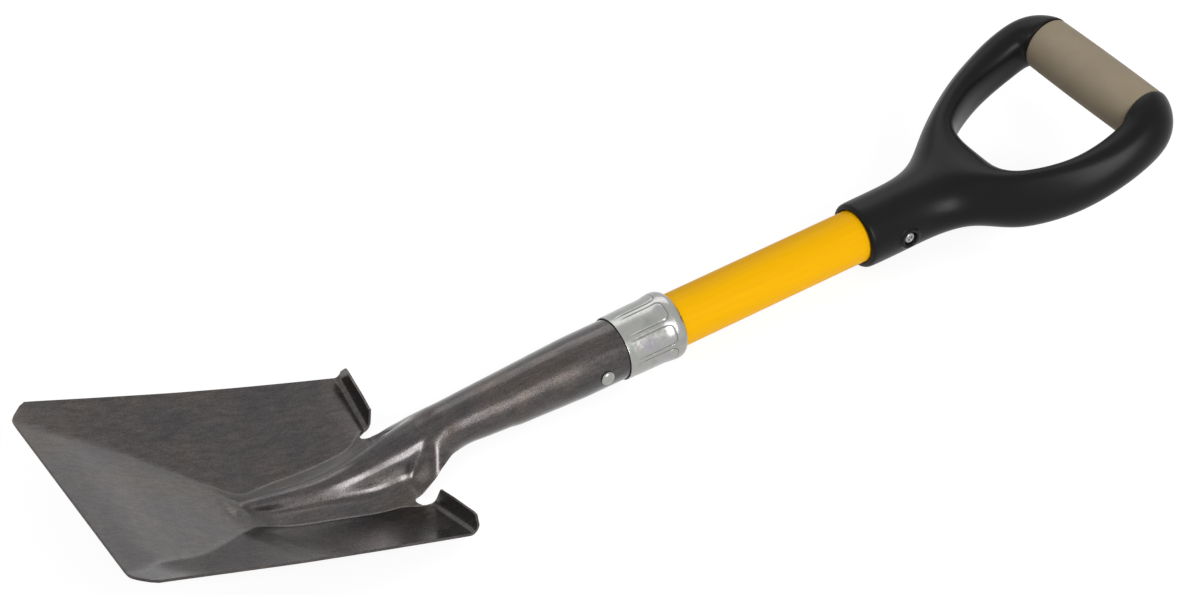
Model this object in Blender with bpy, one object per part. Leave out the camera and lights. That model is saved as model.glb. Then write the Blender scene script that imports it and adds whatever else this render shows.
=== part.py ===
# Square shovel with a short fibreglass shaft and a D-shaped grip.
# Sizes are millimetres in the constants and metres in the scene. +Z is up.
#
# The parts are first laid out in a "blade frame": the origin lies just before the middle of
# the cutting edge, +X runs back towards the grip and +Z is the hollow side of the blade.
# LAY_PITCH then turns the finished tool about Y to the way it lies on a floor, and the last step
# puts the middle of its box at x = y = 0 with the lowest point at z = 0.

import math

import bmesh
import bpy
import numpy as np
from mathutils import Matrix

# Blade sheet
SHEET = 1.5              # thickness of the pressed steel sheet
TIP_X = 1.1              # where the cutting edge lies
TIP_HALF_W = 67.0        # half of the straight part of the cutting edge
FRONT_HALF_W = 76.2      # half width just behind the cut corners
REAR_HALF_W = 72.7       # half width at the treads
CORNER_CUT = 11.0        # length of the cut corners along the blade

# Treads, the two turned-up steps at the back of the blade
TREAD_BEND_R = 3.9
TREAD_TURN = math.radians(99.0)
TREAD_RISE_IN = 8.2      # straight height above the bend at the inner end
TREAD_RISE_OUT = 6.4     # and at the outer end
TREAD_CORNER_R = 5.5
TREAD_INNER_SHIFT = 3.4  # how far the inner end leans out at its top
TREAD_OUTER_SHIFT = 1.5  # how far the outer end leans in at its top

# Relief notches between the treads and the socket
NOTCH_X = 199.4
NOTCH_Y = 30.6
NOTCH_R = 3.9
BLADE_END_X = 204.4

# Shaft, a tube with a wooden dowel in each end
SHAFT_R = 15.85
SHAFT_WALL = 3.2
SHAFT_S0 = 70.5          # distances s are measured along the shaft axis
SHAFT_LEN = 235.5
SHAFT_S1 = SHAFT_S0 + SHAFT_LEN
FIT = 0.3                # clearance between touching pieces
DOWEL_LEN = 48.0
DOWEL_IN = 1.0           # how far the dowels sit inside the tube ends

# Socket, rolled from the same sheet as the blade
CRANK = math.radians(24.08)   # angle between the blade plane and the shaft
AXIS_X = 238.75          # the point of the shaft axis where s is 0
AXIS_Z = 27.2
SOCKET_R_MOUTH = SHAFT_R + FIT + SHEET + 0.3
SOCKET_TAPER = 4.3       # how much smaller the radius is at the neck
SOCKET_NECK_S = -31.5
SOCKET_FULL_S = SHAFT_S0 - 3.5    # from here to the mouth the socket is parallel
SOCKET_MOUTH_S = SHAFT_S0 + 45.5
CLOSE_X = 252.0          # spine station where the rolled tube is closed
SEAM = 0.8               # open seam along the back of the socket

# Ferrule, over the mouth of the socket
FERRULE_T = 0.5
FERRULE_HOLD = 22.8      # length over the socket
FERRULE_LONG = 15.6      # length past the mouth of the socket
FERRULE_R0 = SOCKET_R_MOUTH + FIT + FERRULE_T
FERRULE_FLARE = 0.35
FERRULE_LIP = 1.25        # how far the lip stands over the small end

# Fasteners, both across the tool
RIVET_S = SHAFT_S0 + 7.2
RIVET_SHANK_R = 2.6
RIVET_HEAD_R = 4.2
RIVET_DOME = 1.7
SCREW_SHANK_R = 2.3
SCREW_HEAD_R = 3.7
SCREW_IN = 25.8          # from the rim of the collar
BOSS_R = 6.2
BOSS_RISE = 1.2
RECESS_R = 4.4
RECESS_DEPTH = 2.6

# Grip
BORE_DEPTH = 48.7        # the collar's bore for the shaft
BORE_SPARE = 3.0         # room past the end of the shaft
GRIP_S0 = SHAFT_S1 + BORE_SPARE - BORE_DEPTH
COLLAR_R = SHAFT_R + FIT + 3.85
SCREW_S = GRIP_S0 + SCREW_IN
BOSS_Y = COLLAR_R + BOSS_RISE
GRIP_LEN = 178.9         # rim of the collar to the axis of the hand bar
FORK_LEN = 65.7          # rim of the collar to the fork
GRIP_LIFT = 35.0         # rise of the hand bar over the shaft axis
GRIP_STRAIGHT = 25.7     # the grip starts to rise here
BAR_R = 13.7
SLEEVE_WALL = 2.75
SLEEVE_R = BAR_R + FIT + SLEEVE_WALL
SLEEVE_BARREL = 0.35     # extra radius in the middle of the sleeve
SLEEVE_HALF = 43.3
GRIP_BAR_S = GRIP_S0 + GRIP_LEN

# Lying pose
LAY_PITCH = math.radians(22.11)

AX = np.array([math.cos(CRANK), 0.0, math.sin(CRANK)])
UP = np.array([-math.sin(CRANK), 0.0, math.cos(CRANK)])
ACROSS = np.array([0.0, 1.0, 0.0])
AXIS_O = np.array([AXIS_X, 0.0, AXIS_Z])


def clear_scene():
    for ob in list(bpy.data.objects):
        bpy.data.objects.remove(ob, do_unlink=True)


def lerp_table(x, table):
    xs = [p[0] for p in table]
    ys = [p[1] for p in table]
    return float(np.interp(x, xs, ys))


def smooth_table(x, table):
    """Piecewise cubic through the table with slopes that never overshoot."""
    xs = np.array([p[0] for p in table], float)
    ys = np.array([p[1] for p in table], float)
    if x <= xs[0]:
        return float(ys[0])
    if x >= xs[-1]:
        return float(ys[-1])
    h = np.diff(xs)
    d = np.diff(ys) / h
    m = np.zeros(len(xs))
    for i in range(1, len(xs) - 1):
        if d[i - 1] * d[i] > 0:
            w1 = 2 * h[i] + h[i - 1]
            w2 = h[i] + 2 * h[i - 1]
            m[i] = (w1 + w2) / (w1 / d[i - 1] + w2 / d[i])
    m[0] = d[0]
    m[-1] = d[-1]
    i = int(np.searchsorted(xs, x) - 1)
    t = (x - xs[i]) / h[i]
    a = (1 + 2 * t) * (1 - t) ** 2
    b = t * (1 - t) ** 2
    c = t * t * (3 - 2 * t)
    e = t * t * (t - 1)
    return float(a * ys[i] + b * h[i] * m[i] + c * ys[i + 1] + e * h[i] * m[i + 1])


def smoothstep(t):
    t = min(1.0, max(0.0, t))
    return t * t * (3 - 2 * t)


def taper(k):
    """Half width of the blade a share k of the way from its widest place to the treads."""
    return FRONT_HALF_W + (REAR_HALF_W - FRONT_HALF_W) * k


# Shape of the blade along its length: x and a value
FLOOR_Z = ((0, -1.6), (22, -4.8), (46, -10.1), (62, -13.2), (78, -16.3), (94, -19.4),
           (105, -21.5), (112, -22.9), (118, -23.5), (126, -23.0), (138, -21.1), (150, -19.1),
           (162, -16.9), (174, -14.3), (180, -12.7), (186, -10.2), (192, -7.0), (199, -3.8),
           (201, -3.4))
EDGE_Z = ((0, 0.6), (12, 1.8), (86, 1.9), (129, 2.7), (172, 4.1), (203, 5.3))
EDGE_Y = ((0, FRONT_HALF_W + 0.3), (12, FRONT_HALF_W), (86, taper(0.43)), (129, taper(0.69)),
          (203, REAR_HALF_W))
FOOT_Y = ((0, 15), (60, 10), (100, 4.0), (104, 4.5), (112, 6.0), (120, 7.2), (136, 9.6),
          (150, 11.4), (165, 13.8), (180, 17.0), (190, 19.5), (199, 21.3), (201, 21.3))
TONGUE_Y = ((0, 34), (60, 22), (94, 12), (104, 9.0), (112, 9.4), (120, 10.3), (136, 13.4),
            (150, 15.2), (165, 17.8), (180, 21.4), (190, 24.8), (201, NOTCH_Y - NOTCH_R))
CREASE_Y = ((0, 62), (6, 60), (22, 52), (38, 47), (54, 41.5), (70, 33.5), (86, 25.0),
            (94, 20.5), (102, 16.2), (108, 13.6), (114, 12.8), (120, 13.3), (126, 15.0),
            (138, 17.6), (150, 19.2), (162, 21.0), (174, 23.5), (184, 25.2),
            (190, 27.2), (194, 30.8), (198, 33.8), (201, NOTCH_Y + NOTCH_R))
CREASE_R = ((0, 18), (40, 20), (76, 18), (94, 13), (110, 6), (150, 4), (185, 4), (201, 6))
RIDGE_Z = ((92, -27.0), (101.5, -20.2), (104, -18.9), (108, -17.0), (112, -15.7),
           (120, -14.3), (128, -12.9), (136, -11.2), (144, -9.4), (152, -7.2), (160, -4.0),
           (168, 0.0), (176, 5.2), (184.3, 11.2), (192, 16.5), (BLADE_END_X, 25.0))
STRIP_SLOPE = ((0, 0), (94, 0), (106, 0.27), (178, 0.3), (190, 0.28), (199, 0.14))

RIDGE_FROM = 92.0        # in front of this the middle of the blade is its plain floor
RIDGE_ARC_SHARE = 0.93       # how much of the ridge's section is arcs, against its straight flank
CROWN_SHARE = 0.58       # the crown's share of the two arcs
RIDGE_STEPS = 8
STRIP_STEPS = 2
NOTCH_STEPS = 6
CREASE_STEPS = 2
PANEL_STEPS = 4
NOTCH_COLS = RIDGE_STEPS + STRIP_STEPS


def ridge_profile(width, height, steps):
    """Half of the ridge section from the crown to its foot: side distance and depth."""
    span = width ** 2 + height ** 2
    reach = RIDGE_ARC_SHARE * span / (2 * height)
    wall = math.sqrt((1 - RIDGE_ARC_SHARE) * span)
    turn = math.atan2(height - reach, width) + math.atan2(reach, wall)
    crown, fillet = reach * CROWN_SHARE, reach * (1 - CROWN_SHARE)
    lengths = (crown * turn, wall, fillet * turn)
    pts = []
    for i in range(steps + 1):
        w = sum(lengths) * i / steps
        if w <= lengths[0]:
            a = w / crown
            pts.append((crown * math.sin(a), crown * (1 - math.cos(a))))
        elif w <= lengths[0] + lengths[1]:
            k = w - lengths[0]
            y0, h0 = crown * math.sin(turn), crown * (1 - math.cos(turn))
            pts.append((y0 + k * math.cos(turn), h0 + k * math.sin(turn)))
        else:
            a = turn - (w - lengths[0] - lengths[1]) / fillet
            pts.append((width - fillet * math.sin(a), height - fillet * (1 - math.cos(a))))
    return pts


def foot_z(x):
    """Height of the strip beside the ridge, at the foot of the ridge."""
    run = smooth_table(x, CREASE_Y) - smooth_table(x, FOOT_Y)
    return smooth_table(x, FLOOR_Z) + run * lerp_table(x, STRIP_SLOPE)


def spine_z(x):
    """Height of the middle surface along the centre line of the head."""
    low = foot_z(x)
    if x <= RIDGE_FROM:
        return low
    lift = smooth_table(x, RIDGE_Z) - SHEET / 2 - low
    return low + 0.5 * (lift + math.sqrt(lift * lift + 0.25))


def section(x):
    """One cross section of the blade at x: list of (y, z) from the spine to the edge."""
    low, fall = smooth_table(x, FLOOR_Z), lerp_table(x, STRIP_SLOPE)
    spine = spine_z(x)
    foot = smooth_table(x, FOOT_Y)
    tongue = smooth_table(x, TONGUE_Y)
    crease = smooth_table(x, CREASE_Y)
    rad = lerp_table(x, CREASE_R)
    edge_y = smooth_table(x, EDGE_Y)
    edge_z = smooth_table(x, EDGE_Z)
    rise = max(spine - foot_z(x), 0.01)
    pts = [(y, spine - h) for y, h in ridge_profile(foot, rise, RIDGE_STEPS)]
    for i in range(1, STRIP_STEPS + 1):
        y = foot + (tongue - foot) * i / STRIP_STEPS
        pts.append((y, low + (crease - y) * fall))
    for i in range(1, NOTCH_STEPS + 1):
        y = tongue + (crease - tongue) * (1 - math.cos(math.pi * i / NOTCH_STEPS)) / 2
        pts.append((y, low + (crease - y) * fall))
    start = math.atan(fall)
    slope = math.atan2(edge_z - low, edge_y - crease)
    for _ in range(12):
        dy = edge_y - crease - rad * (math.sin(slope) + math.sin(start))
        dz = edge_z - low - rad * (math.cos(start) - math.cos(slope))
        slope = math.atan2(dz, dy)
    for i in range(1, CREASE_STEPS + 1):
        a = -start + (slope + start) * i / CREASE_STEPS
        pts.append((crease + rad * (math.sin(a) + math.sin(start)),
                    low + rad * (math.cos(start) - math.cos(a))))
    y0, z0 = pts[-1]
    cuts = [i / (PANEL_STEPS - 1) for i in range(1, PANEL_STEPS)]
    cuts.insert(-1, 0.93)
    for k in cuts:
        pts.append((y0 + (edge_y - y0) * k, z0 + (edge_z - z0) * k))
    return pts


def front_start(y):
    """Where the sheet starts at the side distance y: straight edge and cut corners."""
    d = y - TIP_HALF_W
    cut = 0.5 * (d + math.sqrt(d * d + 1.2))
    extra = max(0.0, y - (FRONT_HALF_W - 1.6)) * 0.9
    return min(CORNER_CUT, cut + extra) - 0.5 * (math.sqrt(1.2 + TIP_HALF_W ** 2) - TIP_HALF_W)


def socket_radius(s):
    k = (s - SOCKET_NECK_S) / (SOCKET_FULL_S - SOCKET_NECK_S)
    k = min(1.0, max(0.0, k))
    return SOCKET_R_MOUTH - SOCKET_TAPER * (1 - k)


def station_on_axis(x):
    """Distance s along the shaft whose socket section meets the spine at x."""
    s = (x - AXIS_X) / AX[0]
    for _ in range(20):
        s = (x - AXIS_X - UP[0] * (socket_radius(s) - SHEET / 2)) / AX[0]
    return s


def spine_point(x):
    """Point of the middle surface on the spine and the tilt of the section plane there."""
    tilt = CRANK * smoothstep((x - 198.0) / 32.0)
    if x < BLADE_END_X:
        z = spine_z(x)
    else:
        s = station_on_axis(x)
        z = AXIS_Z + AX[2] * s + UP[2] * (socket_radius(s) - SHEET / 2)
        k = smoothstep((x - BLADE_END_X) / 12.0)
        line = spine_z(BLADE_END_X) + (x - BLADE_END_X) * math.tan(CRANK + math.radians(2.0))
        z = line * (1 - k) + z * k
    return np.array([x, 0.0, z]), tilt


# The free edge of the socket sheet between the notch and the closed tube:
# spine station, distance to the side, depth under the spine
EDGE_SIDE = ((NOTCH_X, NOTCH_Y - NOTCH_R), (202.8, 25.4), (206.5, 24.0), (210, 21.2),
             (215, 16.8), (220, 13.0), (227, 8.9), (237, 4.5), (CLOSE_X, SEAM / 2))
EDGE_DEPTH = ((NOTCH_X, 23.45), (202.8, 22.7), (206.5, 20.1), (210, 17.4), (215, 17.3),
              (220, 19.4), (227, 22.9), (237, 26.2), (CLOSE_X, 28.2))


def tongue_section(x):
    """Half section of the socket sheet at spine station x, as 3-D points."""
    base = section(NOTCH_X)[:NOTCH_COLS + 1]
    base = np.array([(y, base[0][1] - z) for y, z in base])
    run = np.concatenate([[0.0], np.cumsum(np.hypot(*np.diff(base, axis=0).T))])
    frac = run / run[-1]
    origin, tilt = spine_point(x)
    r = socket_radius(station_on_axis(x)) - SHEET / 2
    end = np.array([smooth_table(x, EDGE_SIDE), smooth_table(x, EDGE_DEPTH)])
    if x >= CLOSE_X:
        sweep = math.pi - SEAM / 2 / r
        end = None
    else:
        sweep = math.atan2(end[0], r - end[1])
    ang = sweep * frac
    arc = np.stack([r * np.sin(ang), r * (1 - np.cos(ang))], 1)
    k = smoothstep((x - NOTCH_X) / 9.0)
    shape = base * (1 - k) + arc * k
    if end is not None:
        shape = shape + (end - shape[-1]) * (frac ** 3)[:, None]
    down = np.array([math.sin(tilt), 0.0, -math.cos(tilt)])
    return [origin + ACROSS * y + down * h for y, h in shape]


class Sheet:
    """A middle surface made of quads that is later given its thickness."""

    def __init__(self):
        self.pts = []
        self.keys = {}
        self.quads = []

    def point(self, p):
        key = (round(p[0], 4), round(p[1], 4), round(p[2], 4))
        if key not in self.keys:
            self.keys[key] = len(self.pts)
            self.pts.append(np.array(p, float))
        return self.keys[key]

    def grid(self, rows, flip=False):
        ids = [[self.point(p) for p in row] for row in rows]
        for a, b in zip(ids[:-1], ids[1:]):
            for i in range(len(a) - 1):
                q = [a[i], a[i + 1], b[i + 1], b[i]]
                q = [v for n, v in enumerate(q) if v != q[n - 1]]
                if len(q) < 3:
                    continue
                self.quads.append(q[::-1] if flip else q)

    def solid(self, thick):
        pts = np.array(self.pts)
        normal = np.zeros_like(pts)
        for q in self.quads:
            p = pts[q]
            n = np.cross(p[1] - p[0], p[2] - p[0])
            if len(q) == 4:
                n = n + np.cross(p[2] - p[0], p[3] - p[0])
            n = n / max(np.linalg.norm(n), 1e-12)
            for v in q:
                normal[v] += n
        normal /= np.linalg.norm(normal, axis=1)[:, None]
        count = len(pts)
        verts = np.vstack([pts + normal * thick / 2, pts - normal * thick / 2])
        faces = [list(q) for q in self.quads]
        faces += [[v + count for v in reversed(q)] for q in self.quads]
        edges = {}
        for q in self.quads:
            for i, a in enumerate(q):
                b = q[(i + 1) % len(q)]
                edges[(a, b)] = edges.get((a, b), 0) + 1
        for (a, b) in list(edges):
            if (b, a) not in edges:
                faces.append([b, a, a + count, b + count])
        return verts, faces


def head_sheet():
    sheet = Sheet()
    stations = [TIP_X, 5, 10, 16, 25, 37, 50, 64, 76, 86, 94, 99, 102, 105, 109, 114, 120, 128,
                136, 144, 152, 160, 167, 174, 180, 186, 192, 196.5, NOTCH_X]
    columns = len(section(50))
    half = []
    for x in stations:
        row = []
        for j in range(columns):
            sec = section(x)
            start = front_start(section(0)[j][0])
            xx = x + max(0.0, start) * max(0.0, 1 - x / 25.0)
            y = section(xx)[j][0]
            if NOTCH_COLS < j < NOTCH_COLS + NOTCH_STEPS:
                y_end = section(NOTCH_X)[j][0]
                depth = math.sqrt(max(0.0, NOTCH_R ** 2 - (y_end - NOTCH_Y) ** 2))
                xx -= depth * min(1.0, max(0.0, (x - 186.0) / (NOTCH_X - 186.0)))
            sec = section(xx)
            row.append(np.array([xx, sec[j][0], sec[j][1]]))
        half.append(row)
    tread = []
    turn_len = TREAD_BEND_R * TREAD_TURN
    first = NOTCH_COLS + NOTCH_STEPS
    base = half[-1][first:]
    inner_y = base[0][1]
    outer_y = base[-1][1]
    for i in range(0, 9):
        row = []
        for p in base:
            share = (p[1] - inner_y) / (outer_y - inner_y)
            full = turn_len + TREAD_RISE_IN + (TREAD_RISE_OUT - TREAD_RISE_IN) * share
            end = full
            into = p[1] - (outer_y - TREAD_CORNER_R)
            if into > 0:
                end -= TREAD_CORNER_R - math.sqrt(max(0.0, TREAD_CORNER_R ** 2 - into ** 2))
            q = end * i / 8.0
            if q < turn_len:
                a = q / TREAD_BEND_R
                dx = TREAD_BEND_R * math.sin(a)
                dz = TREAD_BEND_R * (1 - math.cos(a))
            else:
                dx = TREAD_BEND_R * math.sin(TREAD_TURN)
                dz = TREAD_BEND_R * (1 - math.cos(TREAD_TURN))
                dx += (q - turn_len) * math.cos(TREAD_TURN)
                dz += (q - turn_len) * math.sin(TREAD_TURN)
            fade_in = max(0.0, 1 - (p[1] - inner_y) / 14.0)
            fade_out = max(0.0, 1 - (outer_y - p[1]) / 14.0)
            lean = (TREAD_INNER_SHIFT * fade_in - TREAD_OUTER_SHIFT * fade_out) * (q / full)
            row.append(p + np.array([dx, lean, dz]))
        tread.append(row)
    tongue = [half[-1][:NOTCH_COLS + 1]]
    x = NOTCH_X
    last = AXIS_X + AX[0] * SOCKET_MOUTH_S + UP[0] * (SOCKET_R_MOUTH - SHEET / 2)
    marks = [202, 204.5, 207.5, 211, 215, 219.5, 225, 232, 241, CLOSE_X, 265, 280, 296, 312, last]
    for x in marks:
        tongue.append(tongue_section(x))
    for rows in (half, tread, tongue):
        sheet.grid(rows)
        sheet.grid([[p * np.array([1.0, -1.0, 1.0]) for p in r] for r in rows], flip=True)
    return sheet.solid(SHEET)


def at(s, y=0.0, h=0.0):
    return AXIS_O + AX * s + ACROSS * y + UP * h


def lathe(profile, steps, origin, axis, side, other):
    """Closed ring of a profile [(along, radius)...] turned about an axis."""
    verts, faces = [], []
    count = len(profile)
    for k in range(steps):
        a = 2 * math.pi * k / steps
        d = side * math.cos(a) + other * math.sin(a)
        for along, rad in profile:
            verts.append(origin + axis * along + d * rad)
    for k in range(steps):
        m = (k + 1) % steps
        for i in range(count):
            j = (i + 1) % count
            faces.append([k * count + i, m * count + i, m * count + j, k * count + j])
    return verts, faces


def turned(profile, steps, origin, axis, side, other, phase=0.0):
    """Solid of revolution: the profile starts and ends on the axis."""
    verts = [origin + axis * profile[0][0]]
    faces = []
    inner = profile[1:-1]
    for along, rad in inner:
        for k in range(steps):
            a = 2 * math.pi * (k + phase) / steps
            d = side * math.cos(a) + other * math.sin(a)
            verts.append(origin + axis * along + d * rad)
    verts.append(origin + axis * profile[-1][0])
    last = len(verts) - 1
    for k in range(steps):
        m = (k + 1) % steps
        faces.append([0, 1 + m, 1 + k])
        for i in range(len(inner) - 1):
            a, b = 1 + i * steps, 1 + (i + 1) * steps
            faces.append([a + k, a + m, b + m, b + k])
        a = 1 + (len(inner) - 1) * steps
        faces.append([a + k, a + m, last])
    return verts, faces


def grip_height(s):
    start = GRIP_S0 + GRIP_STRAIGHT
    if s <= start:
        return 0.0
    return GRIP_LIFT * ((s - start) / (GRIP_BAR_S - start)) ** 1.6


def grip_point(s, y, out, deg, c):
    """Point of a grip section centred at (s, y) of its bent middle surface."""
    d = 0.5
    slope = math.atan2(grip_height(s + d) - grip_height(s - d), 2 * d)
    along = AX * math.cos(slope) + UP * math.sin(slope)
    normal = UP * math.cos(slope) - AX * math.sin(slope)
    turn = math.radians(deg)
    side = ACROSS * math.cos(turn) - along * math.sin(turn)
    return at(s, y, grip_height(s)) + side * out + normal * c


# Arm stations: share of the way from the fork to the bar, distance out from the end of
# the sleeve, direction in degrees, half width in plan, half depth, raise
ARM = ((0.178, -11.0, 45.0, 11.0, 19.4, -0.7), (0.274, -2.6, 37.0, 10.0, 19.2, -1.1),
       (0.397, 5.2, 27.0, 10.0, 18.6, -1.1), (0.530, 10.9, 17.0, 10.8, 17.2, -0.8),
       (0.671, 13.7, 7.0, 11.9, 16.0, -0.2), (0.786, 14.7, -3.0, 13.0, 15.6, 0.5),
       (0.905, 13.8, -32.3, 14.4, 16.3, 0.9), (0.968, 9.3, -58.7, 15.4, 17.0, 1.1),
       (0.996, 4.0, -80.0, 16.6, 17.5, 1.0))
# Ring stations beside the sleeve and on the bar: distance out from the end of the sleeve,
# radius past that of the sleeve or of the bar, raise
SHOULDER = ((1.5, 0.85, 0.8), (0.7, 0.65, 0.6), (0.5, -0.15, 0.2))
BAR = ((0.5, 0.9, 0.0), (0.4, 0.35, 0.0), (-0.1, 0.3, 0.0), (-5.3, 0.3, 0.0))
# The arms lean: their upper edge is nearer the hand hole. Fades out at the corners.
ARM_LEAN = ((0.12, 10.0), (0.70, 10.0), (0.90, 0.0))
# Shares of the half width along the arms: the section narrows to the top, and its lower inner
# side is flat near the fork and full near the bar.
ARM_FLAT = ((0.14, 1.0), (0.28, 0.80), (0.55, 0.80), (0.85, 1.0))
ARM_INNER = ((0.14, 1.0), (0.28, 0.88), (0.45, 1.05), (0.75, 1.2), (0.92, 1.1), (1.0, 1.0))
# Collar stations: distance from the rim, half width and half depth past the radius of the
# collar, extra width at the bottom
STEM = ((0.0, -11.0, -11.0, 0), (0.0, -1.4, -1.4, 0), (0.7, 0.6, 0.6, 0), (3.7, 1.0, 1.0, 0),
        (24.7, 1.0, 1.0, 0), (40.7, 1.5, 0.6, 0.02), (53.7, 5.0, -0.4, 0.05),
        (FORK_LEN, 11.4, -1.0, 0.09))
# Crotch of the fork: share of the way from the fork to the bar, height
SADDLE = ((0.145, 16.0), (0.248, 11.8), (0.282, 0.0), (0.248, -11.0), (0.155, -15.8))
# The upper inner edge of the arms is tighter: ring points, as shares of the half width and depth
ARM_EDGE = {7: (-0.60, 0.92), 8: (-0.95, 0.62)}


def arm_path():
    """Every ring of one arm: share, y, direction, half width, half depth, raise."""
    path = [(k, SLEEVE_HALF + y, d, a, b, e) for k, y, d, a, b, e in ARM]
    for y, r, e in SHOULDER:
        path.append((1.0, SLEEVE_HALF + y, -90.0, SLEEVE_R + r, SLEEVE_R + r, e))
    for y, r, e in BAR:
        path.append((1.0, SLEEVE_HALF + y, -90.0, BAR_R + r, BAR_R + r, e))
    path.append((1.0, SLEEVE_HALF / 3, -90.0, BAR_R + 0.3, BAR_R + 0.3, 0.0))
    return path


def fork_s(share):
    return GRIP_S0 + FORK_LEN + (GRIP_LEN - FORK_LEN) * share


def grip_cage():
    verts, faces = [], []

    def add(p):
        verts.append(p)
        return len(verts) - 1

    rings = []
    for run, extra_y, extra_c, splay in STEM:
        half_y = COLLAR_R + extra_y
        half_c = COLLAR_R + extra_c
        ring = []
        for k in range(12):
            a = 2 * math.pi * k / 12
            side = half_y * math.cos(a) * (1 - splay * math.sin(a))
            ring.append(add(grip_point(GRIP_S0 + run, 0.0, side, 0.0, half_c * math.sin(a))))
        rings.append(ring)
    faces.append(rings[0])
    for a, b in zip(rings[:-1], rings[1:]):
        for k in range(12):
            m = (k + 1) % 12
            faces.append([a[k], b[k], b[m], a[m]])
    fork = rings[-1]
    saddle = [add(grip_point(fork_s(share), 0.0, 0.0, 0.0, c)) for share, c in SADDLE]
    right = [fork[9], fork[10], fork[11], fork[0], fork[1], fork[2], fork[3]] + saddle
    left = [fork[9], fork[8], fork[7], fork[6], fork[5], fork[4], fork[3]] + saddle
    path = arm_path()
    mirrored = [(k, -y, -180.0 - d, a, b, e) for k, y, d, a, b, e in reversed(path)]
    prev = right
    for share, y, deg, half_w, half_c, up in path + mirrored:
        ring = []
        s = fork_s(share)
        lean = math.radians(lerp_table(share, ARM_LEAN))
        flat = lerp_table(share, ARM_FLAT)
        top, foot = (1 + flat) / 2, (3 - flat) / 2
        for k in range(12):
            a = 2 * math.pi * k / 12
            out, c = half_w * math.sin(a), -half_c * math.cos(a)
            if k in ARM_EDGE and share < 1:
                out, c = half_w * ARM_EDGE[k][0], half_c * ARM_EDGE[k][1]
            if c > 0:
                out *= top
            else:
                out *= lerp_table(share, ARM_INNER) if out < 0 else foot
            turned_out = out * math.cos(lean) - c * math.sin(lean)
            turned_c = out * math.sin(lean) + c * math.cos(lean)
            ring.append(add(grip_point(s, y, turned_out, deg, turned_c + up)))
        for k in range(12):
            m = (k + 1) % 12
            faces.append([prev[k], ring[k], ring[m], prev[m]])
        prev = ring
    for k in range(12):
        m = (k + 1) % 12
        faces.append([prev[k], left[k], left[m], prev[m]])
    return verts, faces


def place(points):
    c, s = math.cos(LAY_PITCH), math.sin(LAY_PITCH)
    out = []
    for p in points:
        x = p[0] * c + p[2] * s
        z = -p[0] * s + p[2] * c
        out.append((x / 1000.0, p[1] / 1000.0, z / 1000.0))
    return out


def material(name, color, metallic, roughness):
    mat = bpy.data.materials.new(name)
    mat.use_nodes = True
    node = mat.node_tree.nodes.get("Principled BSDF")
    node.inputs["Base Color"].default_value = (*color, 1.0)
    node.inputs["Metallic"].default_value = metallic
    node.inputs["Roughness"].default_value = roughness
    return mat


def make(name, shape, look=None):
    verts, faces = shape
    mesh = bpy.data.meshes.new(name)
    mesh.from_pydata(place(verts), [], [list(f) for f in faces])
    mesh.validate()
    mesh.update()
    ob = bpy.data.objects.new(name, mesh)
    bpy.context.scene.collection.objects.link(ob)
    if look:
        mesh.materials.append(material("mat_" + name, *look))
    return ob


def outward(ob):
    bm = bmesh.new()
    bm.from_mesh(ob.data)
    bmesh.ops.recalc_face_normals(bm, faces=bm.faces)
    bm.to_mesh(ob.data)
    bm.free()


def cutter(name, profile, origin, axis, side, other, steps=24):
    ob = make(name, turned(profile, steps, origin, axis, side, other, 0.37))
    outward(ob)
    ob.hide_render = True
    ob.display_type = "WIRE"
    return ob


def boolean(ob, tool, operation):
    mod = ob.modifiers.new("b_" + tool.name, "BOOLEAN")
    mod.operation = operation
    mod.solver = "EXACT"
    mod.object = tool


def rod(length0, length1, radius):
    return [(length0, 0.0), (length0, radius), (length1, radius), (length1, 0.0)]


def ferrule_profile():
    """Sheet ferrule: a sleeve on the socket, a rounded lip and a small rim on the shaft."""
    mouth, t = SOCKET_MOUTH_S, FERRULE_T
    start, end = mouth - FERRULE_HOLD, mouth + FERRULE_LONG
    r0 = FERRULE_R0
    r1 = r0 + FERRULE_FLARE
    lip = r0 + FERRULE_LIP
    rim = SHAFT_R + FIT
    outer = [(start, r0), (mouth + 2.5, r1), (mouth + 6.5, r1 + 0.55), (mouth + 10.3, lip),
             (end - 2.3, lip - 0.35), (end - 0.4, lip - 1.5), (end, rim + 1.0), (end, rim)]
    inner = [(end - 0.9, rim), (end - 1.4, lip - 1.9), (end - 2.8, lip - 1.05),
             (mouth + 10.4, lip - t), (mouth + 6.8, r1 + 0.03), (mouth + 2.5, r1 - t),
             (start, r0 - t)]
    return outer + inner


def settle(pieces):
    """Put the middle of the whole box at x = y = 0 and its lowest point at z = 0."""
    bpy.context.view_layer.update()
    graph = bpy.context.evaluated_depsgraph_get()
    low, high = [], []
    for ob in pieces:
        shown = ob.evaluated_get(graph)
        mesh = shown.to_mesh()
        pts = np.array([v.co[:] for v in mesh.vertices])
        low.append(pts.min(axis=0))
        high.append(pts.max(axis=0))
        shown.to_mesh_clear()
    low = np.min(low, axis=0)
    high = np.max(high, axis=0)
    move = Matrix.Translation((-(low[0] + high[0]) / 2, -(low[1] + high[1]) / 2, -low[2]))
    for ob in bpy.data.objects:
        ob.data.transform(move)


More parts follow.
